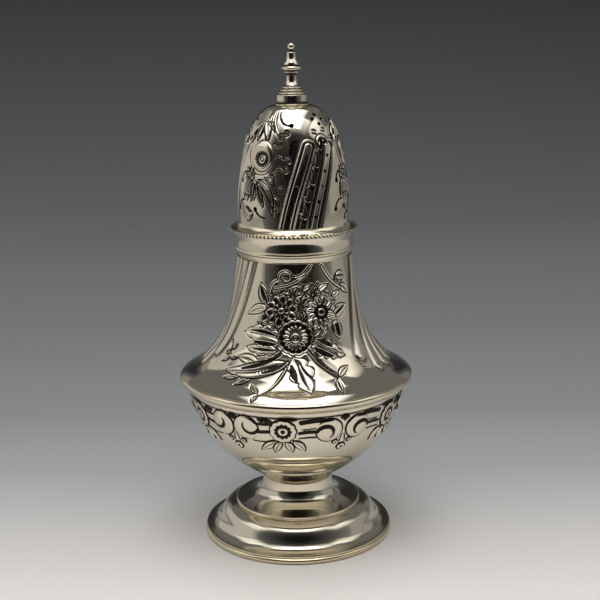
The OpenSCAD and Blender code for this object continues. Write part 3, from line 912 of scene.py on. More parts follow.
NECK_LEAVES = [
    ((-25, 96.6), (-33.5, 104), 2.2, 0.5, 0.25),
    ((-26.5, 95.2), (-46, 92), 1.9, -0.7, 0),
    ((-26, 92.8), (-28.5, 90.8), 0.7, 0, 0.5),
    ((-21.5, 86.6), (-33.8, 89.8), 1.0, -0.3, 0.45),
    ((-14, 78.4), (-33, 77), 1.5, 0.2, 0),
    ((-27, 75.8), (-46, 76.9), 2.0, -0.5, 0),
    ((-6, 76.5), (-51, 72), 3.2, 0.9, 0),
    ((-29, 71), (-37.5, 68.8), 1.0, 0.2, 0),
    ((-38, 71), (-48.5, 69.9), 1.0, 0.2, 0),
    ((-21, 67.7), (-26.8, 69.5), 1.0, 0.2, 0.2),
    ((-21, 67.2), (-22, 65.6), 1.0, 0, 0.2),
    ((-56, 77.5), (-60, 81.8), 0.8, 0.2, 0),
    ((-55, 78.5), (-50.5, 80.6), 0.8, 0, 0),
    ((-55, 77), (-61.5, 77.2), 0.8, 0, 0),
    ((-53.5, 75.8), (-60, 74), 0.9, 0, 0),
    ((-52, 75.6), (-45.5, 76.3), 0.6, 0, 0),
    ((27.5, 71.4), (36.6, 74), 1.4, 0.4, 0),
    ((25.6, 70.7), (24.3, 67.2), 1.3, 0, 0.25),
    ((36, 91.5), (53, 94.8), 2.4, 0.1, 0.2),
    ((37, 89.6), (37.8, 83), 2.2, 0, 0.3),
    ((30.4, 95.4), (39.5, 97.2), 0.9, 0.1, 0),
    ((31.8, 93.6), (41, 94.4), 0.8, 0, 0.2),
    ((36.8, 98.7), (45.8, 100.3), 1.2, -0.3, 0),
    ((44, 105.5), (59, 105), 1.9, 0.3, 0.12),
    ((49.5, 102), (59, 98.4), 1.7, 0.4, 0.12),
    ((-8, 101.6), (8.4, 103.6), 0.9, 0.2, 0),
    ((7.5, 101.6), (16.8, 103.8), 0.9, 0.1, 0),
    ((22, 101), (33, 103.4), 1.2, 0.1, 0),
]
# Engraved hollows in the large leaves, painted dark as their shade: two ends, bow and half-width.
NECK_HOLLOWS = [
    ((-11, 79.3), (-37.5, 73.5), 0.6, 0.8),
    ((-7, 76.6), (-22, 73), 0.4, 0.7),
    ((-16, 82.6), (-34, 82.9), 0.3, 0.8),
    ((-15, 85.4), (-38, 86.6), -0.6, 0.6),
    ((-15, 80.4), (-34, 80.4), 0, 0.5),
    ((-3, 75.4), (0.4, 70.8), -0.2, 1.1),
    ((3, 76), (11.5, 71), -0.6, 0.3),
    ((1.5, 75.5), (6.5, 69.4), -0.3, 0.3),
    ((17.5, 84), (29, 80.9), 0.3, 0.85),
    ((14.3, 81.1), (27.5, 77.7), -0.3, 0.85),
    ((-40, 76.9), (-30, 75.9), 0.5, 0.14),
    ((-8, 74.6), (-32, 70.6), 0.6, 0.14),
    ((-14.5, 75.2), (-41, 71.8), 0.6, 0.14),
]
# Stems and scrolled bands: two ends, bow and half-width.
NECK_STEMS = [
    ((-6.4, 75), (-19.5, 67.4), 0.8, 0.4),
    ((9.5, 80), (26.5, 71.4), -0.7, 0.4),
    ((14.5, 79), (26.8, 72), -0.7, 0.22),
    ((4, 97.5), (22, 103.8), -0.4, 0.24),
    ((22.5, 104), (32, 100), -0.5, 0.24),
    ((28, 110), (50, 100.8), -1.0, 0.5),
    ((-24.4, 100.8), (-14, 105.4), 1.1, 0.5),
    ((-19, 102.8), (16, 110), -1.7, 0.7),
    ((-4, 106.5), (9.5, 107.9), -0.5, 0.3),
]
# Leaves with lobed edges: base, tip, half-width, bow and count of lobes.
NECK_LOBED_LEAVES = [
    ((-14, 80.4), (-41, 80.6), 2.4, 0.1, 3),
    ((-12, 84), (-46.5, 85.6), 4.0, -0.8, 4),
    ((-1.5, 78), (8, 67.9), 5.0, 0.5, 3),
    ((12, 82.4), (38, 77.4), 3.8, 0.2, 5),
]
# Coiled ends of the bands: centre, first and last radius, first and last angle, and half-width.
NECK_COILS = [
    ((-8.5, 106.4), 2.6, 1.0, 190, -140, 0.36),
    ((49, 104.6), 2.4, 1.1, 200, -120, 0.4),
]
# Dark patches of the ground: centre, radius, stretch upwards and strength. The first is oxide between the
# flowers; the second is a painted reflection of the dark room at the neck's top.
NECK_SHADES = [
    ((4, 92), 11, 0.85, 0.6),
    ((2, 104.5), 9, 0.6, 0.6),
]
# Small flowers behind the large ones: centre and reach.
NECK_BLOSSOMS = [
    ((5, 95.5), 4.6),
    ((-2, 99.6), 3.6),
    ((17, 100), 3.2),
    ((-19, 99), 2.8),
    ((7, 90.5), 3.2),
]
NECK_BUDS = [(12, 88.4), (18, 87.4), (24.4, 87.4)]
LEFT_DAISY = (-12.4, 94.4)
RIGHT_DAISY = (23.8, 93.5)
NECK_SUNFLOWER = (0, 84.7)
BOUQUETS = 2
BOUQUET_SPAN = 360.0 / BOUQUETS
# The flutes between the bouquets: azimuth and pitch of their upper and lower ends, their heights, and the
# height at which the first and last flute end.
NECK_FLUTES = 6
NECK_FLUTE_HALF = 2.2
NECK_FLUTE_UPPER = (79, 11)
NECK_FLUTE_LOWER = (52, 11.2)
NECK_FLUTE_TOP = 114
NECK_FLUTE_FOOT = 71
END_FLUTE_FOOT = 76


def neck_flute(panel, k):
    """Plain convex flute number k of a group, wider towards its rounded lower end, with a double engraved
    border."""
    foot = NECK_FLUTE_FOOT if 0 < k < NECK_FLUTES - 1 else END_FLUTE_FOOT
    upper, lower = (azimuth + pitch * k for azimuth, pitch in (NECK_FLUTE_UPPER, NECK_FLUTE_LOWER))
    line = panel.bow((upper, NECK_FLUTE_TOP), (lower, foot), 0.4)
    where, gap, along = panel.field(line, NECK_FLUTE_HALF + 1.5)
    width = NECK_FLUTE_HALF * (0.78 + 0.42 * along)
    rise = 1.3 * chased("flute_swell") * domed(np.clip(gap / width, 0, 1), 0.9)
    panel.stamp(where, width - gap, rise, edge=0.3)
    panel.etch(where, width - gap, 0.15, 0.2, strength=0.66, soft=0.4)
    panel.etch(where, width + 0.75 - gap, 0.12, 0.1, strength=0.35)


def neck_sunflower(panel, centre):
    """Large flower: a thin scalloped rim, dark petals, a bright star of rays and rings round its core."""
    where, rho, angle = panel.polar(centre, 8.0)
    wave = np.abs(np.cos(7 * angle))
    outline = 6.2 + 0.6 * wave**0.7
    dome = np.cos(0.5 * np.pi * np.clip(rho / 6.9, 0, 1))
    panel.stamp(where, outline - rho, chased("leaf_swell") * (0.6 + 1.2 * dome))
    panel.etch(where, outline - rho)
    ray = np.abs(np.cos(8.5 * angle + 0.4 * np.sin(3 * angle)))
    star = 3.0 + 1.5 * ray**1.3
    seams = 0.6 + 0.4 * smooth_step((wave - 0.15) / 0.12)
    dark = seams * smooth_step((rho - star) / 0.18)
    panel.sink(where, dark * smooth_step((5.75 + 0.3 * wave - rho) / 0.18))
    slits = smooth_step((rho - 2.2) / 0.1) * smooth_step((3.6 - rho) / 0.3)
    panel.etch(where, ray * rho / 8.5, 0.08, strength=0.85 * slits)
    for ring, half in ((2.05, 0.16), (0.95, 0.18), (0.0, 0.3)):
        panel.etch(where, rho - ring, half)


def neck_foliage(panel):
    """Bands, stems and leaves of the bouquet, with the dark hollows and ribs of its large leaves."""
    for first, last, bend, half in NECK_STEMS:
        ribbon(panel, panel.bow(first, last, bend), half, 0.3)
    for centre, first_radius, last_radius, first, last, half in NECK_COILS:
        ribbon(panel, panel.coil(centre, first_radius, last_radius, first, last), half, 0.35)
    for base, tip, half, bend, hollow in NECK_LEAVES:
        leaf(panel, panel.bow(base, tip, bend), half, hollow)
    for base, tip, half, bend, lobes in NECK_LOBED_LEAVES:
        leaf(panel, panel.bow(base, tip, bend), half, lobes=lobes)
    for first, last, bend, half in NECK_HOLLOWS:
        stroke(panel, panel.bow(first, last, bend), half)
    ribbon(panel, panel.bow((15, 83.3), (31.5, 78)), 0.25, 0.4)
    for k in range(5):
        stroke(panel, panel.bow((-25 + 2.1 * k, 73.8 + 0.3 * k), (-24.5 + 2.1 * k, 72.6 + 0.3 * k)), 0.1)


def neck_flowers(panel):
    """Flowers of the bouquet: small ones and buds behind, two daisies and the large flower in front."""
    for centre, reach in NECK_BLOSSOMS:
        petals(panel, centre, 7, 0.6, reach, 0.3 * reach, 0.3)
    for az, z in NECK_BUDS:
        leaf(panel, panel.bow((az + 2, z + 2), (az - 1.5, z - 1.7)), 1.2)
    petals(panel, LEFT_DAISY, 10, 1.2, 6.3, 1.8, 0.45)
    petals(panel, LEFT_DAISY, 8, 0.8, 3.6, 1.1, 0.4)
    disc(panel, LEFT_DAISY, 1.35, 0.5, 0.5)
    petals(panel, RIGHT_DAISY, 11, 1.2, 6.2, 1.75)
    where, rho, _ = panel.polar(RIGHT_DAISY, 4.0)
    panel.etch(where, rho - 2.3, 0.5)
    disc(panel, RIGHT_DAISY, 1.6, 0.5, 0.75)
    neck_sunflower(panel, NECK_SUNFLOWER)


def chase_neck(panel):
    """The upper body's ornament: a bouquet, and a group of leaning flutes between bouquets."""
    for k in range(NECK_FLUTES):
        neck_flute(panel, k)
    for k in range(4):
        stroke(panel, panel.bow((45.5 + 1.5 * k, 75 - k), (49 + 1.5 * k, 74.3 - k), -0.3), strength=0.8)
    for patch in NECK_SHADES:
        panel.shade(*patch)
    neck_foliage(panel)
    neck_flowers(panel)


# The frieze is mirrored about these two azimuths. It lies between two heights, under an engraved line.
LOW_AXIS = -34.75
HIGH_AXIS = 25.25
FRIEZE_LOW = 43.5
FRIEZE_HIGH = 59.6
FRIEZE_LINE = 59.35
FRIEZE_SHADES = [
    ((-16.5, 58.3), 3.4, 0.4, 0.85),
    ((-5, 59), 6.0, 0.28, 0.85),
]
FRIEZE_FLOWER = (-7.2, 54.1)
# Scrolls: centre, radius, place of the ball, and first and last angle of the outline and of the comma.
FRIEZE_SCROLLS = [
    ((-27.4, 54.3), 5.1, (-25, 55.5), (5, 275), (-25, -205)),
    ((17, 53.6), 5.1, (15.3, 52.7), (190, 470), (165, -50)),
]
# Leaves under the flower: base, tip, half-width and bow.
FRIEZE_LEAVES = [
    ((-10.5, 49.6), (-20.3, 45.2), 1.6, -0.3),
    ((-8.4, 49.5), (-12.7, 44.4), 1.4, -0.3),
    ((-5.8, 49.6), (-2.6, 44.6), 1.5, 0.3),
    ((-1.8, 49.8), (4.6, 45.2), 1.6, 0.3),
]
# Dark bands between the flower and the scrolls: two ends, bow, half-width and its shares at the ends.
FRIEZE_BANDS = [
    ((-13.3, 56.7), (-20.7, 56.5), 0, 0.42, 1, 1),
    ((-13.3, 53.6), (-20.3, 53.1), 0, 0.6, 0.9, 1),
    ((-15, 49.4), (-24, 49.1), 0.3, 0.22, 0.5, 1),
    ((2.2, 57.6), (18.5, 58), 0.5, 0.8, 1, 0.05),
    ((2.6, 54.6), (9.8, 54.9), 0, 0.18, 0.5, 1),
    ((1.2, 53.1), (9.7, 53.5), 0.3, 0.62, 0.8, 1),
    ((0.9, 50.9), (10.2, 51.1), 0.2, 0.26, 0.6, 1),
]


def frieze_flower(panel, centre):
    """Flower of the frieze: a scalloped disc, a ring of dark petals, a bright ring and a dark centre."""
    where, rho, angle = panel.polar(centre, 7.5)
    lobes = np.abs(np.cos(5.5 * angle))
    outline = 4.7 + 0.35 * lobes
    panel.stamp(where, outline - rho, 0.6 * domed(rho / 5.1, 0.6))
    panel.etch(where, outline - rho)
    reach = 2.65 + 0.65 * lobes**0.6
    panel.sink(where, smooth_step((reach - rho) / 0.15) * smooth_step((rho - 1.7) / 0.15))
    panel.etch(where, rho, 0.75)


def volute(panel, centre, radius, ball, outline, comma):
    """Scroll of the frieze: a domed disc with an engraved outline, and a dark comma round the ball that
    the scroll ends in. outline and comma are the first and last angle of each line."""
    where, rho, _ = panel.polar(centre, radius + 1.0)
    panel.stamp(where, radius - rho, 0.5 * domed(rho / radius, 0.8, 4), edge=0.35)
    where, rho, _ = panel.polar(ball, 4.0)
    panel.height[where] += 0.35 * np.clip(1 - (rho / 3.4) ** 2, 0, 1)
    stroke(panel, panel.coil(centre, radius, radius, *outline), 0.24, 0.8, 0.8)
    stroke(panel, panel.coil(ball, 3.5, 2.5, *comma), 0.62, 0.9, 0.25)


def frieze_half(panel):
    """Half of a repeat of the frieze: the flower between two scrolls."""
    for patch in FRIEZE_SHADES:
        panel.shade(*patch)
    for k in range(3):
        leaf(panel, panel.bow((-12.6 - 2.4 * k, 57.5), (-15.4 - 2.4 * k, 58.8), 0.2), 0.5)
    for scroll in FRIEZE_SCROLLS:
        volute(panel, *scroll)
    for first, last, bend, half, start, end in FRIEZE_BANDS:
        stroke(panel, panel.bow(first, last, bend), half, start, end)
    for base, tip, half, bend in FRIEZE_LEAVES:
        leaf(panel, panel.bow(base, tip, bend), half)
    frieze_flower(panel, FRIEZE_FLOWER)


def frieze_pendant(panel, axis):
    """Pendant where two scrolls meet: three beads over them, a stem, two side buttons and a drop."""
    panel.shade((axis, 58.6), 2.6, 0.7, 0.9)
    for az, z in ((-1.8, 58.5), (1.8, 58.5), (0, 57.5)):
        disc(panel, (axis + az, z), 0.4, 0.25)
    for hand in (-1, 1):
        disc(panel, (axis + hand * 4.3, 48.4), 1.05, 0.4, 0.25)
        stroke(panel, panel.bow((axis + hand * 0.5, 51.5), (axis + hand * 1.6, 47.6), hand * 0.2))
    disc(panel, (axis, 45.9), 1.7, 0.45, 0.45)


def chase_bowl(panel):
    """The bowl's frieze: flowers joined by scrolls under an engraved line. It is drawn from one axis to
    the next and then mirrored."""
    edge = np.interp(FRIEZE_LINE, panel.line[:, 1], panel.run)
    rows = np.flatnonzero(np.abs(panel.run - edge) < 1.0)
    panel.etch(np.ix_(rows, np.arange(panel.columns)), panel.run[rows, None] - edge, 0.15, strength=0.9)
    frieze_half(panel)
    panel.mirror = HIGH_AXIS
    frieze_half(panel)
    panel.mirror = None
    for axis in (LOW_AXIS, HIGH_AXIS):
        frieze_pendant(panel, axis)


def add(tree, kind, **values):
    """Node of a kind; a name with in_ before it sets an input, any other a property."""
    made = tree.nodes.new(kind)
    for name, value in values.items():
        if name.startswith("in_"):
            made.inputs[name[3:].replace("_", " ")].default_value = value
        else:
            setattr(made, name, value)
    return made


def mixed(tree, share, first, second):
    """Colour mix of two sockets or colours by a share socket."""
    made = add(tree, "ShaderNodeMix", data_type="RGBA")
    tree.links.new(share, made.inputs[0])
    for socket, value in ((made.inputs[6], first), (made.inputs[7], second)):
        if isinstance(value, bpy.types.NodeSocket):
            tree.links.new(value, socket)
        else:
            socket.default_value = (*value, 1.0)
    return made.outputs[2]


def ranged(tree, value, low, high, to_low, to_high):
    """A value carried from one range to another, held at the ends."""
    made = add(
        tree, "ShaderNodeMapRange", in_From_Min=low, in_From_Max=high, in_To_Min=to_low, in_To_Max=to_high)
    tree.links.new(value, made.inputs["Value"])
    return made.outputs["Result"]


def calculated(tree, operation, first, second):
    """Sum, product or other combination of two sockets or numbers."""
    made = add(tree, "ShaderNodeMath", operation=operation)
    for socket, value in zip(made.inputs, (first, second)):
        if isinstance(value, bpy.types.NodeSocket):
            tree.links.new(value, socket)
        else:
            socket.default_value = value
    return made.outputs[0]


def noise(tree, place, scale, detail=3.0):
    """Noise at a place, with a scale per metre."""
    made = add(tree, "ShaderNodeTexNoise", in_Scale=scale, in_Detail=detail)
    tree.links.new(place, made.inputs["Vector"])
    return made.outputs["Fac"]


def blank_material(name):
    """Material with an empty tree but for its output and shader, and the object's own coordinates."""
    material = bpy.data.materials.new(name)
    material.use_nodes = True
    tree = material.node_tree
    shader = tree.nodes["Principled BSDF"]
    place = add(tree, "ShaderNodeTexCoord").outputs["Object"]
    return material, tree, shader, place


def bump(tree, shader, height, strength, depth):
    """Bump of a height socket on the shader, its depth in metres."""
    made = add(tree, "ShaderNodeBump", in_Strength=strength, in_Distance=depth)
    tree.links.new(height, made.inputs["Height"])
    tree.links.new(made.outputs["Normal"], shader.inputs["Normal"])


# Scales per metre of the plate's film and specks, and how closely its scratches lie up the axis.
FILM_SCALE = 90.0
SPECK_SCALE = 900.0
SCRATCH_STRETCH = (1.0, 1.0, 9.0)
# Base metal's share in the film's colour, least and most roughness of the bare plate, what the darkened
# places (oxide and painted shade alike) and wear add to it, and the depth of the scratches in metres.
FILM_SHARE = 0.25
PLATE_ROUGHNESS = (0.05, 0.11)
DARKENED_ROUGHNESS = 0.35
WORN_ROUGHNESS = 0.2
SCRATCH_DEPTH = 0.00002


def polished_plate(name, wear_share, scratch_scale, bump_strength, dullness=0.0):
    """Polished silver plate: the dark colour where the tarnish layer is high, which is oxide in the
    chasing and painted shade in hollows, under the girdle's lip and round the piercings, warm base metal
    on the worn edges, a thin cloudy film, and fine polishing scratches in its roughness and bump."""
    finish = bpy.context.scene.caster_finish
    material, tree, shader, place = blank_material(name)
    tarnish = add(tree, "ShaderNodeAttribute", attribute_name="tarnish").outputs["Fac"]
    wear = add(tree, "ShaderNodeAttribute", attribute_name="wear").outputs["Fac"]
    film = noise(tree, place, FILM_SCALE, 4.0)
    specks = noise(tree, place, SPECK_SCALE, 2.0)
    stretched = add(tree, "ShaderNodeMapping", in_Scale=SCRATCH_STRETCH)
    tree.links.new(place, stretched.inputs["Vector"])
    scratches = noise(tree, stretched.outputs["Vector"], scratch_scale, 5.0)
    warm = tuple(a * (1 - FILM_SHARE) + b * FILM_SHARE for a, b in zip(finish.silver, finish.worn))
    metal = mixed(tree, ranged(tree, film, 0.4, 0.75, 0.0, 1.0), finish.silver, warm)
    rubbed = calculated(tree, "MULTIPLY", wear, ranged(tree, specks, 0.3, 0.7, 0.85, 1.0))
    rubbed = calculated(tree, "MULTIPLY", rubbed, wear_share)
    metal = mixed(tree, rubbed, metal, finish.worn)
    dark_share = ranged(tree, tarnish, 0.22, 0.85, 0.0, 1.0)
    tree.links.new(mixed(tree, dark_share, metal, finish.tarnish), shader.inputs["Base Color"])
    least, most = PLATE_ROUGHNESS
    gloss = ranged(tree, scratches, 0.3, 0.7, least + dullness, most + 1.5 * dullness)
    rough = calculated(tree, "MULTIPLY", dark_share, DARKENED_ROUGHNESS)
    rough = calculated(tree, "ADD", rough, calculated(tree, "MULTIPLY", rubbed, WORN_ROUGHNESS))
    tree.links.new(calculated(tree, "ADD", gloss, rough), shader.inputs["Roughness"])
    shader.inputs["Metallic"].default_value = 1.0
    bump(tree, shader, scratches, bump_strength, SCRATCH_DEPTH)
    return material


# Scales per metre of the brass's stains and tool marks, the marks' depth in metres, and the share of the
# brass's colour that is left in a stain.
STAIN_SCALE = 300.0
TOOL_MARK_SCALE = 2500.0
TOOL_MARK_DEPTH = 0.00003
STAIN_SHARE = 0.45


def turned_brass(name):
    """Turned brass with brown stains and fine tool marks."""
    finish = bpy.context.scene.caster_finish
    material, tree, shader, place = blank_material(name)
    stains = noise(tree, place, STAIN_SCALE, 4.0)
    marks = noise(tree, place, TOOL_MARK_SCALE, 2.0)
    dull = tuple(STAIN_SHARE * value for value in finish.brass)
    colour = mixed(tree, ranged(tree, stains, 0.45, 0.7, 0.0, 0.7), finish.brass, dull)
    tree.links.new(colour, shader.inputs["Base Color"])
    tree.links.new(ranged(tree, marks, 0.3, 0.7, 0.22, 0.42), shader.inputs["Roughness"])
    shader.inputs["Metallic"].default_value = 1.0
    bump(tree, shader, marks, 0.2, TOOL_MARK_DEPTH)
    return material


def finish_of(name, maker, **values):
    """A material by name, made when it is first asked for."""
    return bpy.data.materials.get(name) or maker(name, **values)


BODY_PLATE = {"wear_share": 0.35, "scratch_scale": 700.0, "bump_strength": 0.12}


def plate():
    """Finish of the body, the sleeve and the dome."""
    return finish_of("polished_plate", polished_plate, **BODY_PLATE)


def satin_plate():
    """Finish of the foot's skirt, dulled by years of wiping."""
    return finish_of("satin_plate", polished_plate, dullness=0.035, **BODY_PLATE)


def rubbed_plate():
    """Finish of the foot's rim, the flange, the rope and the finial, whose plate is rubbed."""
    return finish_of(
        "rubbed_plate", polished_plate, wear_share=0.7, scratch_scale=2600.0, bump_strength=0.01)


def dress(piece, node, body, material):
    """Give a piece its material and body, and hide the frame's node that it takes the place of."""
    piece.data.materials.append(material)
    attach(piece, body)
    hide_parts(node)


def foot_rim_section():
    """Section of the foot's wire: flat behind, half round outside."""
    outer, low, high = reach_of("foot_rim"), foot_of("foot_rim"), top_of("foot_rim")
    half = (high - low) / 2
    back = outer - size("rim_width")
    edge = arc((outer - half, low + half), half, -90, 90, 20)
    return joined([[back, low]], edge, [[back, high]])


def foot_skirt_section(edge=0.6, lap=3.0):
    """Section of the foot's skirt: an upright edge, a hollow brim, a rounded step and a ledge that runs in
    under the pedestal by the lap."""
    wall = size("wall")
    low = top_of("foot_rim")
    brim = np.array([reach_of("foot_skirt"), low + edge])
    step = np.array([size("step_radius"), size("step_height")])
    ledge = np.array([size("ledge_radius"), top_of("foot_skirt")])
    brim_reach, brim_rise = brim[0] - step[0], step[1] - brim[1]
    step_reach, step_rise = step[0] - ledge[0], ledge[1] - step[1]
    hollow = curve(brim, brim + [-0.62 * brim_reach, 0.08 * brim_rise],
                   step + [0.25 * brim_rise, -0.6 * brim_rise], step, 64)
    round_step = curve(step, step + [-0.24 * step_rise, 0.58 * step_rise],
                       ledge + [0.66 * step_reach, -0.19 * step_rise], ledge, 64)
    line = joined(hollow, round_step)
    inner = inward(line, wall)
    inner = inner[(inner[:, 1] > low) & (inner[:, 1] < ledge[1] - wall)]
    seat = reach_of("pedestal") - lap
    return joined([[brim[0], low]], line, [[seat, ledge[1]], [seat, ledge[1] - wall]],
                  inner[::-1], [[brim[0] - wall, low]])


def pedestal_section(clearance=0.2):
    """Section of the pedestal: a round bead, a hollow dish and a waisted stem, with the sheet's wall
    inside from a clearance over the ledge."""
    wall = size("wall")
    bead = size("bead_height") / 2
    outer, low = reach_of("pedestal"), foot_of("pedestal")
    lip = np.array([outer - bead, low + 2 * bead])
    waist = np.array([size("waist_radius"), size("waist_height")])
    top = np.array([size("stem_top_radius"), top_of("pedestal")])
    spread, dish_rise, flare = lip[0] - waist[0], waist[1] - lip[1], top[1] - waist[1]
    dish = curve(lip, lip + [-0.8 * spread, 0.09 * dish_rise], waist - [0, 0.65 * dish_rise], waist, 64)
    stem = curve(waist, waist + [0, 0.45 * flare], top - 0.28 * (top - waist), top, 30)
    round_bead = arc((outer - bead, low + bead), bead, -90, 90)
    shell = inward(joined(dish, stem), wall)
    shell = shell[(shell[:, 1] > low + clearance) & (shell[:, 1] < top[1])]
    return joined(round_bead, dish, stem, [[top[0] - wall, top[1]]], shell[::-1], [[shell[0, 0], low]])


class CASTER_OT_foot(bpy.types.Operator):
    """Turn the foot's rim wire, its stepped skirt and the pedestal"""

    bl_idname = "caster.foot"
    bl_label = "Foot"

    def execute(self, context):
        corner = size("corner")
        rim = turned("foot_rim_wire", softened(foot_rim_section(), corner))
        dress(rim, "foot_rim", "body", rubbed_plate())
        skirt = turned("foot_skirt_shell", softened(foot_skirt_section(), corner))
        dress(skirt, "foot_skirt", "body", satin_plate())
        stem = turned("pedestal_stem", softened(pedestal_section(), corner))
        dress(stem, "pedestal", "body", plate())
        return {"FINISHED"}


# Rows of the bowl's panels under, across and over the frieze, and their columns.
BOWL_ROWS = (34, 88, 6)
BOWL_COLUMNS = 400


class CASTER_OT_bowl(bpy.types.Operator):
    """Raise the bowl in three panels with the chased frieze"""

    bl_idname = "caster.bowl"
    bl_label = "Bowl"

    def execute(self, context):
        line = bowl_line()
        run = run_along(line)
        low, high = np.interp([FRIEZE_LOW, FRIEZE_HIGH], line[:, 1], run / run[-1])
        under, across, over = BOWL_ROWS
        places = np.concatenate([
            np.linspace(0, low, under, endpoint=False),
            np.linspace(low, high, across, endpoint=False),
            np.linspace(high, 1, over),
        ])
        panel = Panel(line, places, BOWL_COLUMNS, LOW_AXIS, PANEL_SPAN, chased("frieze_line"))
        chase_bowl(panel)
        for k in range(PANELS):
            piece = backed_shell(f"bowl_panel_{k + 1}", panel, size("wall"), k * np.radians(PANEL_SPAN))
            dress(piece, "bowl", "body", plate())
        return {"FINISHED"}


def girdle_section():
    """Section of the girdle: a lap over the bowl, a hollow out to the round lip, and a flat back."""
    lip = size("lip_radius")
    outer, low, high = reach_of("girdle"), foot_of("girdle"), top_of("girdle")
    bowl, bowl_top = reach_of("bowl"), top_of("bowl")
    cove = outer - lip
    lap = bowl + lip / 3
    half = (bowl_top - low) / 2
    hollow = curve([lap, low], [lap, low + half], [cove, low + half], [cove, bowl_top], 16)
    edge = arc((cove, high - lip), lip, -90, 90, 28)
    back = bowl - size("wall")
    return joined([[bowl, low]], hollow, edge, [[back, high], [back, bowl_top], [bowl, bowl_top]])


class CASTER_OT_girdle(bpy.types.Operator):
    """Turn the girdle with its rounded lip and the hollow that laps over the bowl"""

    bl_idname = "caster.girdle"
    bl_label = "Girdle"

    def execute(self, context):
        # The hollow under the lip gets twice the darkening, as painted shade under the lip.
        piece = turned("girdle_ring", softened(girdle_section(), size("corner")), 288, hollow_shade_and_oxide=2.0)
        dress(piece, "girdle", "body", plate())
        return {"FINISHED"}


# Rows, columns and first azimuth of one bouquet and its flutes.
NECK_ROWS = 290
NECK_COLUMNS = 480
NECK_START = -70.0


class CASTER_OT_upper_body(bpy.types.Operator):
    """Raise the shoulder and neck in four panels, a bouquet or a group of flutes on each"""

    bl_idname = "caster.upper_body"
    bl_label = "Shoulder and neck"

    def execute(self, context):
        places = np.linspace(0, 1, NECK_ROWS)
        panel = Panel(neck_line(), places, NECK_COLUMNS, NECK_START, BOUQUET_SPAN, chased("line_width"))
        chase_neck(panel)
        half = NECK_COLUMNS // 2
        for k in range(2 * BOUQUETS):
            turn = k // 2 * np.radians(BOUQUET_SPAN)
            first = k % 2 * half
            name = f"upper_body_panel_{k + 1}"
            piece = backed_shell(name, panel, size("wall"), turn, first, first + half)
            dress(piece, "upper_body", "body", plate())
        return {"FINISHED"}


def neck_ring_section(flatness=0.6):
    """Section of the neck's ring: a band that swells upwards under a flattened round bead, stepped inside
    for the bezel."""
    low, high = foot_of("neck_ring"), top_of("neck_ring")
    neck = size("neck_radius")
    back = neck - size("wall")
    bead_low = low + size("ring_band")
    half = (high - bead_low) / 2
    seat, seat_low = reach_of("neck_bezel"), foot_of("neck_bezel")
    swelling = curve([neck, low], [neck + 0.3, low + 0.5], [neck + 0.8, low + 1.4],
                     [neck + 0.9, bead_low], 12)
    bead = arc((0, 0), half, -90, 90) * [flatness, 1]
    bead = bead + [reach_of("neck_ring") - flatness * half, bead_low + half]
    return joined([[back, low]], swelling, bead, [[seat, high], [seat, seat_low], [back, seat_low]])


def neck_bezel_section(steps=8):
    """Section of the bezel: a plain tube, each of its four sides drawn in steps."""
    outer, low, top = reach_of("neck_bezel"), foot_of("neck_bezel"), top_of("neck_bezel")
    inner = outer - size("cover_wall")
    tube = [[inner, low], [outer, low], [outer, top], [inner, top]]
    sides = zip(tube, tube[1:] + tube[:1])
    return joined(*(np.linspace(first, last, steps, endpoint=False) for first, last in sides))


class CASTER_OT_neck_ring(bpy.types.Operator):
    """Turn the neck's ring and the bezel that the cover slides over"""

    bl_idname = "caster.neck_ring"
    bl_label = "Neck ring and bezel"

    def execute(self, context):
        corner = size("corner")
        ring = turned("neck_ring_band", softened(neck_ring_section(), corner))
        dress(ring, "neck_ring", "body", plate())
        bezel = turned("neck_bezel_tube", softened(neck_bezel_section(), corner))
        dress(bezel, "neck_bezel", "body", plate())
        return {"FINISHED"}


def cover_sleeve_section():
    """Section of the cover's sleeve: a straight bore, and an outer side that flares towards its top."""
    outer, low, high = reach_of("cover_sleeve"), foot_of("cover_sleeve"), top_of("cover_sleeve")
    bore = outer - size("cover_wall")
    tall = high - low
    side = curve([outer, low], [outer, low + 0.6 * tall], [outer, low + 0.84 * tall],
                 [outer + size("sleeve_flare"), high], 24)
    return joined(side, np.linspace([bore, high], [bore, low], 10))


def flange_edge():
    """Height of the upper end of the flange's plain edge."""
    return foot_of("cover_flange") + size("flange_edge")


def cover_flange_section():
    """Section of the cover's flange: a plain edge and a hollow slope up to the dome."""
    low, edge, top = top_of("cover_sleeve"), flange_edge(), top_of("cover_flange")
    outer, dome = reach_of("cover_flange"), reach_of("cover_dome")
    reach, rise = outer - dome, top - edge
    slope = curve([outer, edge], [outer - reach / 2, edge + rise / 8],
                  [dome + reach / 6, top - rise / 2], [dome, top], 30)
    back = dome - size("cover_wall")
    return joined([[back, low], [outer, low]], slope, [[back, top]])


def rope_border(steps=10, sides=16):
    """Rope round the flange's edge: a ring whose section is a circle that swells with the root of a sine.
    The sine's angle is half the sum of the twists times the azimuth and the angle round the section."""
    twists = bpy.context.scene.caster_shape.rope_twists
    low = top_of("cover_sleeve")
    radius = 0.57 * (flange_edge() - low)
    ring = reach_of("rope_border") - 0.85 * radius
    azimuth = np.linspace(0, 2 * np.pi, steps * twists, endpoint=False)[:, None]
    angle = np.linspace(0, 2 * np.pi, sides, endpoint=False)[None]
    strand = np.abs(np.sin((twists * azimuth + angle) / 2))
    swell = radius * (0.3 + 0.7 * strand**0.5)
    points = spun(ring + swell * np.cos(angle), low + radius + swell * np.sin(angle), azimuth)
    rope = new_piece("rope_border_twist", points.reshape(-1, 3), quads(*strand.shape, True, True)[:, ::-1])
    # The dips between the strands are painted darker and the crowns worn.
    tarnish = np.clip(1.7 - 1.9 * strand, 0, 1)
    wear = np.clip(strand - 0.6, 0, 1)
    paint(rope, tarnish=tarnish.ravel(), wear=wear.ravel())
    return rope


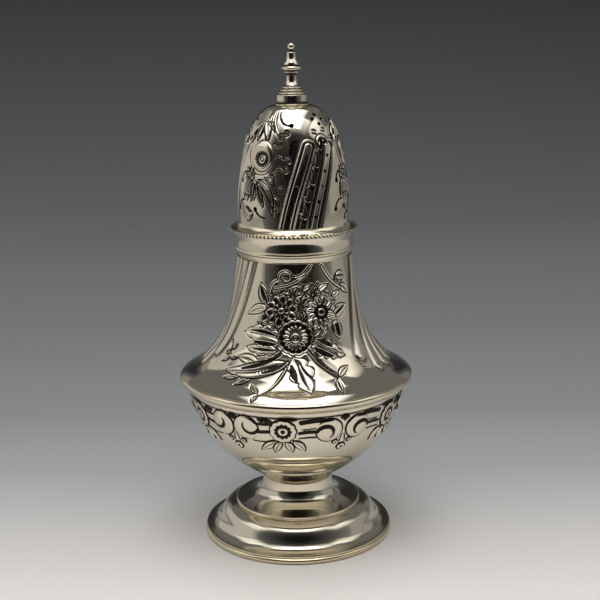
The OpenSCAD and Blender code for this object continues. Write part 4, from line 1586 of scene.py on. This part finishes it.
class CASTER_OT_cover_rings(bpy.types.Operator):
    """Turn the cover's sleeve and flange and twist the rope border"""

    bl_idname = "caster.cover_rings"
    bl_label = "Sleeve, flange and rope"

    def execute(self, context):
        corner = size("corner")
        sleeve = turned("cover_sleeve_band", softened(cover_sleeve_section(), 1.6 * corner))
        dress(sleeve, "cover_sleeve", "cover", plate())
        flange = turned("cover_flange_slope", softened(cover_flange_section(), corner), worn=0.5)
        dress(flange, "cover_flange", "cover", rubbed_plate())
        dress(rope_border(), "rope_border", "cover", rubbed_plate())
        return {"FINISHED"}


def crown_section(bore=1.6):
    """Section of the flat plate that closes the dome's crown, with a bore for the finial's stud."""
    top = top_of("cover_dome")
    low = top - size("cover_wall")
    outer = size("crown_radius")
    return np.array([[bore, low], [outer, low], [outer, top], [bore, top]])


# Rows, columns and first azimuth of one panel of the dome.
DOME_ROWS = 220
DOME_COLUMNS = 212
DOME_START = -47.5


class CASTER_OT_dome(bpy.types.Operator):
    """Raise the dome in three chased and pierced panels, with the flat crown under the finial"""

    bl_idname = "caster.dome"
    bl_label = "Pierced dome"

    def execute(self, context):
        places = np.linspace(0, 1, DOME_ROWS)
        panel = Panel(dome_line(), places, DOME_COLUMNS, DOME_START, PANEL_SPAN, chased("line_width"))
        chase_dome(panel)
        for k in range(PANELS):
            turn = k * np.radians(PANEL_SPAN)
            piece = whole_shell(f"dome_panel_{k + 1}", panel, size("cover_wall"), turn)
            dress(piece, "cover_dome", "cover", plate())
        crown = turned("dome_crown_plate", softened(crown_section(), 0.1), 120)
        dress(crown, "cover_dome", "cover", plate())
        return {"FINISHED"}


def finial_line():
    """Outline of the finial, from the lower end of its stud: a drum on a round foot, reeds, a waisted stem
    with a small ring, a collar, a bell and a ball."""
    low, high = foot_of("finial"), top_of("finial")
    seat = top_of("cover_dome")
    foot = reach_of("finial")
    stud = 1.5
    bevel = 0.2
    drum, drum_foot, drum_top = 5.6, seat + 0.6, seat + 3.7
    reeds, reed, reed_step, reed_height = 3, 4.9, 0.66, 1.03
    reed_radius = 0.37 * reed_height
    stem, stem_foot, waist = drum_top + reeds * reed_height, 3.0, 1.85
    ring, ring_radius = 2.45, 0.3
    collar, collar_centre, collar_radius = stem + 5.7, 2.95, 0.72
    bell = collar + 1.6
    bell_top = bell + 5.0
    bell_foot, bell_neck = 2.75, 1.6
    tip = 0.75
    ball, ball_drop = 1.35, 0.7
    stretches = [
        [[0, low], [stud - 0.2, low], [stud, low + 0.3], [stud, seat], [foot - 0.1, seat]],
        arc((foot - bevel, seat + bevel), bevel, -60, 80, 6),
        curve([foot - 0.25, drum_foot - 0.2], [drum + 0.15, drum_foot], [drum, drum_foot + 0.3],
              [drum, drum_foot + 1.2], 14),
        [[drum, drum_top - 0.25]],
        arc((drum - bevel, drum_top - bevel), bevel, 0, 90, 6),
    ]
    for k in range(reeds):
        middle = (reed - k * reed_step - reed_radius, drum_top + (k + 0.5) * reed_height)
        stretches.append(arc(middle, reed_radius, -90, 90, 14))
    stretches += [
        curve([stem_foot, stem], [waist + 0.3, stem + 1.2], [waist, stem + 1.8], [waist, stem + 3.4], 18),
        curve([waist, stem + 3.4], [waist, stem + 4.0], [2.0, stem + 4.4], [2.15, stem + 4.6], 8),
        arc((ring, collar - 0.7), ring_radius, -90, 90, 10),
        [[2.1, collar - 0.25]],
        arc((collar_centre, collar + 0.75), collar_radius, -85, 85, 18),
        [[2.6, bell - 0.05]],
        curve([bell_foot, bell + 0.1], [bell_foot - 0.05, bell + 1.6], [bell_neck + 0.05, bell + 1.9],
              [bell_neck, bell + 3.9], 20),
        arc((bell_neck - 0.3, bell_top - 0.45), 0.4, 0, 80, 8),
        curve([tip + 0.2, bell_top], [tip, bell_top + 0.1], [tip, bell_top + 0.3],
              [tip + 0.05, bell_top + 0.5], 10),
        arc((0, high - ball - ball_drop), ball, -52, 90, 24),
    ]
    line = joined(*stretches)
    line[-1, 0] = 0
    return line


class CASTER_OT_finial(bpy.types.Operator):
    """Turn the finial and finish the brass washer and nut that hold its stud"""

    bl_idname = "caster.finial"
    bl_label = "Finial"

    def execute(self, context):
        piece = turned_solid("finial_turned", finial_line())
        dress(piece, "finial", "cover", rubbed_plate())
        for node in ("finial_washer", "finial_nut"):
            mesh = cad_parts[node].data
            mesh.materials.clear()
            mesh.materials.append(finish_of("brass_fixing", turned_brass))
        return {"FINISHED"}


def soft_box(name, place, target, width, height, brightness, colour=(1.0, 1.0, 1.0), fade=1.0, soft=0.12):
    """Rectangular light at a place that faces a target, of the stated brightness. Its strength runs from
    the share fade at its lower edge to full at its upper edge, and down to nothing over the share soft of
    its width at both sides."""
    light = bpy.data.lights.new(name, "AREA")
    light.shape = "RECTANGLE"
    light.size = width
    light.size_y = height
    light.energy = brightness * math.pi * width * height
    light.color = colour
    light.use_nodes = True
    tree = light.node_tree
    split = add(tree, "ShaderNodeSeparateXYZ")
    tree.links.new(add(tree, "ShaderNodeNewGeometry").outputs["Parametric"], split.inputs[0])
    rise = ranged(tree, split.outputs["Y"], 0.0, 1.0, fade, 1.0)
    across = split.outputs["X"]
    aside = calculated(tree, "MINIMUM", across, calculated(tree, "SUBTRACT", 1.0, across))
    strength = calculated(tree, "MULTIPLY", rise, ranged(tree, aside, 0.0, soft, 0.0, 1.0))
    tree.links.new(strength, tree.nodes["Emission"].inputs["Strength"])
    lamp = bpy.data.objects.new(name, light)
    lamp.location = place
    lamp.visible_camera = False
    lamp.rotation_euler = (Vector(target) - Vector(place)).to_track_quat("-Z", "Y").to_euler()
    bpy.context.scene.collection.objects.link(lamp)


def paper_sweep():
    """Sheet of studio paper: flat on the table, then a quarter circle up into an upright back. Its
    run layer is the length passed behind the axis, brought to nothing at the far sides."""
    near, bend, radius, top, half = -320.0, 650.0, 250.0, 500.0, 1100.0
    pale_from, pale_over = 420.0, 60.0
    flat = np.linspace([near, 0], [bend, 0], 40)
    curl = arc((bend, radius), radius, -90, 0, 24)
    back = np.linspace([bend + radius, radius], [bend + radius, top], 12)
    line = joined(flat, curl, back)
    run = run_along(line) + near
    side = np.linspace(-half, half, 67)
    pale = smooth_step((np.abs(side) - pale_from) / pale_over)
    points = np.stack(np.broadcast_arrays(side, line[:, :1], line[:, 1:]), 2)
    sheet = new_piece("paper_sweep", points.reshape(-1, 3), quads(len(line), len(side)))
    paint(sheet, run=(run[:, None] * (1 - pale)).ravel())
    return sheet


# Painted shading of the paper: its tone at lengths passed behind the axis, falling from pale at the front
# to dark up the back, and where its tint starts to turn cool, a painted cooler light away from the lamps,
# and over how far.
PAINTED_PAPER_SHADE = [(-60, 1.0), (0, 0.77), (60, 0.525), (140, 0.37), (300, 0.305), (650, 0.31), (1040, 0.076)]
COOL_FROM = -20.0
COOL_OVER = 100.0


def paper_material():
    """Matt paper with painted shading: its tone falls from pale near the table's front to dark up the
    back, and its tint turns cool towards the back as painted light.
    """
    material, tree, shader, place = blank_material("studio_paper")
    finish = bpy.context.scene.caster_finish
    run = add(tree, "ShaderNodeAttribute", attribute_name="run").outputs["Fac"]
    ramp = add(tree, "ShaderNodeValToRGB")
    first, last = PAINTED_PAPER_SHADE[0][0], PAINTED_PAPER_SHADE[-1][0]
    tree.links.new(ranged(tree, run, first, last, 0.0, 1.0), ramp.inputs["Fac"])
    while len(ramp.color_ramp.elements) < len(PAINTED_PAPER_SHADE):
        ramp.color_ramp.elements.new(0.5)
    for element, (at, tone) in zip(ramp.color_ramp.elements, PAINTED_PAPER_SHADE):
        element.position = (at - first) / (last - first)
        far = min(max((at - COOL_FROM) / COOL_OVER, 0.0), 1.0)
        tint = [a + (b - a) * far for a, b in zip(finish.paper, finish.painted_cool_paper)]
        element.color = (*(tone * value for value in tint), 1.0)
    grain = noise(tree, place, 400.0, 2.0)
    tree.links.new(ramp.outputs["Color"], shader.inputs["Base Color"])
    tree.links.new(ranged(tree, grain, 0.3, 0.7, 0.75, 0.9), shader.inputs["Roughness"])
    return material


# Brightness of the room on the camera's side and elsewhere, and the shares of it that are left straight
# behind the table and to the sides there.
ROOM_DARK = 0.008
ROOM_GREY = 0.18
BEHIND_SHARE = 0.2
ASIDE_SHARE = 0.9


def studio_room():
    """World that is dark on the camera's side and straight behind the table, and grey to the sides."""
    world = bpy.data.worlds.new("studio_room")
    world.use_nodes = True
    tree = world.node_tree
    split = add(tree, "ShaderNodeSeparateXYZ")
    tree.links.new(add(tree, "ShaderNodeTexCoord").outputs["Generated"], split.inputs[0])
    front = ranged(tree, split.outputs["Y"], -0.9, -0.25, ROOM_DARK, ROOM_GREY)
    aside = calculated(tree, "ABSOLUTE", split.outputs["X"], 0.0)
    ahead = ranged(tree, split.outputs["Y"], 0.2, 0.5, 1.0, 0.0)
    behind = ranged(tree, aside, 0.0, 0.3, BEHIND_SHARE, ASIDE_SHARE)
    share = calculated(tree, "MAXIMUM", ahead, behind)
    tree.links.new(calculated(tree, "MULTIPLY", front, share), tree.nodes["Background"].inputs["Color"])
    return world


WARM_LIGHT = (1.0, 0.97, 0.92)
SENSOR_WIDTH = 36.0


class CASTER_OT_stage(bpy.types.Operator):
    """Set up the paper sweep, the soft boxes and the camera"""

    bl_idname = "caster.stage"
    bl_label = "Stage"

    def execute(self, context):
        scene = context.scene
        sheet = paper_sweep()
        sheet.data.materials.append(paper_material())
        soft_box("overhead_box", place=(0.0, -0.13, 0.85), target=(0.0, -0.13, 0.0),
                 width=0.72, height=0.98, brightness=2.1, soft=0.2)
        soft_box("front_box", place=(0.0, -0.5, 0.87), target=(0.0, -0.5, 0.0),
                 width=1.4, height=0.7, brightness=1.2, fade=0.0)
        for hand, name in ((-1, "upper_left_box"), (1, "upper_right_box")):
            soft_box(name, place=(hand * 0.72, -0.14, 0.62), target=(0.0, -0.14, 0.1),
                     width=0.86, height=0.42, brightness=1.35, colour=WARM_LIGHT, fade=0.3, soft=0.3)
        soft_box("left_box", place=(-0.68, 0.3, 0.26), target=(0.0, 0.3, 0.2),
                 width=1.45, height=0.46, brightness=0.38, colour=WARM_LIGHT)
        soft_box("right_box", place=(0.7, 0.2, 0.26), target=(0.0, 0.2, 0.2),
                 width=0.75, height=0.46, brightness=0.18, colour=WARM_LIGHT)
        scene.world = studio_room()
        view = scene.caster_view
        camera_data = bpy.data.cameras.new("caster_camera")
        camera_data.sensor_width = SENSOR_WIDTH
        camera_data.lens = view.lens
        camera_data.clip_start = 0.01
        camera = bpy.data.objects.new("caster_camera", camera_data)
        turn = (Matrix.Rotation(view.yaw, 4, "Z") @ Matrix.Rotation(math.pi / 2 - view.pitch, 4, "X")
                @ Matrix.Rotation(view.roll, 4, "Z"))
        camera.matrix_world = Matrix.Translation((0, -view.distance, view.height)) @ turn
        scene.collection.objects.link(camera)
        scene.camera = camera
        scene.view_settings.view_transform = "Standard"
        return {"FINISHED"}


OPERATORS = (
    CASTER_OT_foot,
    CASTER_OT_bowl,
    CASTER_OT_girdle,
    CASTER_OT_upper_body,
    CASTER_OT_neck_ring,
    CASTER_OT_cover_rings,
    CASTER_OT_dome,
    CASTER_OT_finial,
    CASTER_OT_stage,
)


class CASTER_PT_panel(bpy.types.Panel):
    """Lists the caster's pieces in the sidebar"""

    bl_idname = "CASTER_PT_panel"
    bl_label = "Sugar caster"
    bl_space_type = "VIEW_3D"
    bl_region_type = "UI"
    bl_category = "Caster"

    def draw(self, context):
        for operator in OPERATORS:
            self.layout.operator(operator.bl_idname)


GROUPS = {
    "caster_shape": CasterShape,
    "caster_chasing": CasterChasing,
    "caster_finish": CasterFinish,
    "caster_view": CasterView,
}


def register():
    """Add the classes and the scene's settings."""
    for kind in (*GROUPS.values(), *OPERATORS, CASTER_PT_panel):
        bpy.utils.register_class(kind)
    for name, kind in GROUPS.items():
        setattr(bpy.types.Scene, name, PointerProperty(type=kind))


def unregister():
    """Take the settings and classes away again."""
    for name in GROUPS:
        delattr(bpy.types.Scene, name)
    for kind in (CASTER_PT_panel, *reversed(OPERATORS), *reversed(tuple(GROUPS.values()))):
        bpy.utils.unregister_class(kind)


def main():
    register()
    bpy.ops.caster.foot()
    bpy.ops.caster.bowl()
    bpy.ops.caster.girdle()
    bpy.ops.caster.upper_body()
    bpy.ops.caster.neck_ring()
    bpy.ops.caster.cover_rings()
    bpy.ops.caster.dome()
    bpy.ops.caster.finial()
    bpy.ops.caster.stage()


if __name__ == "__main__":
    main()
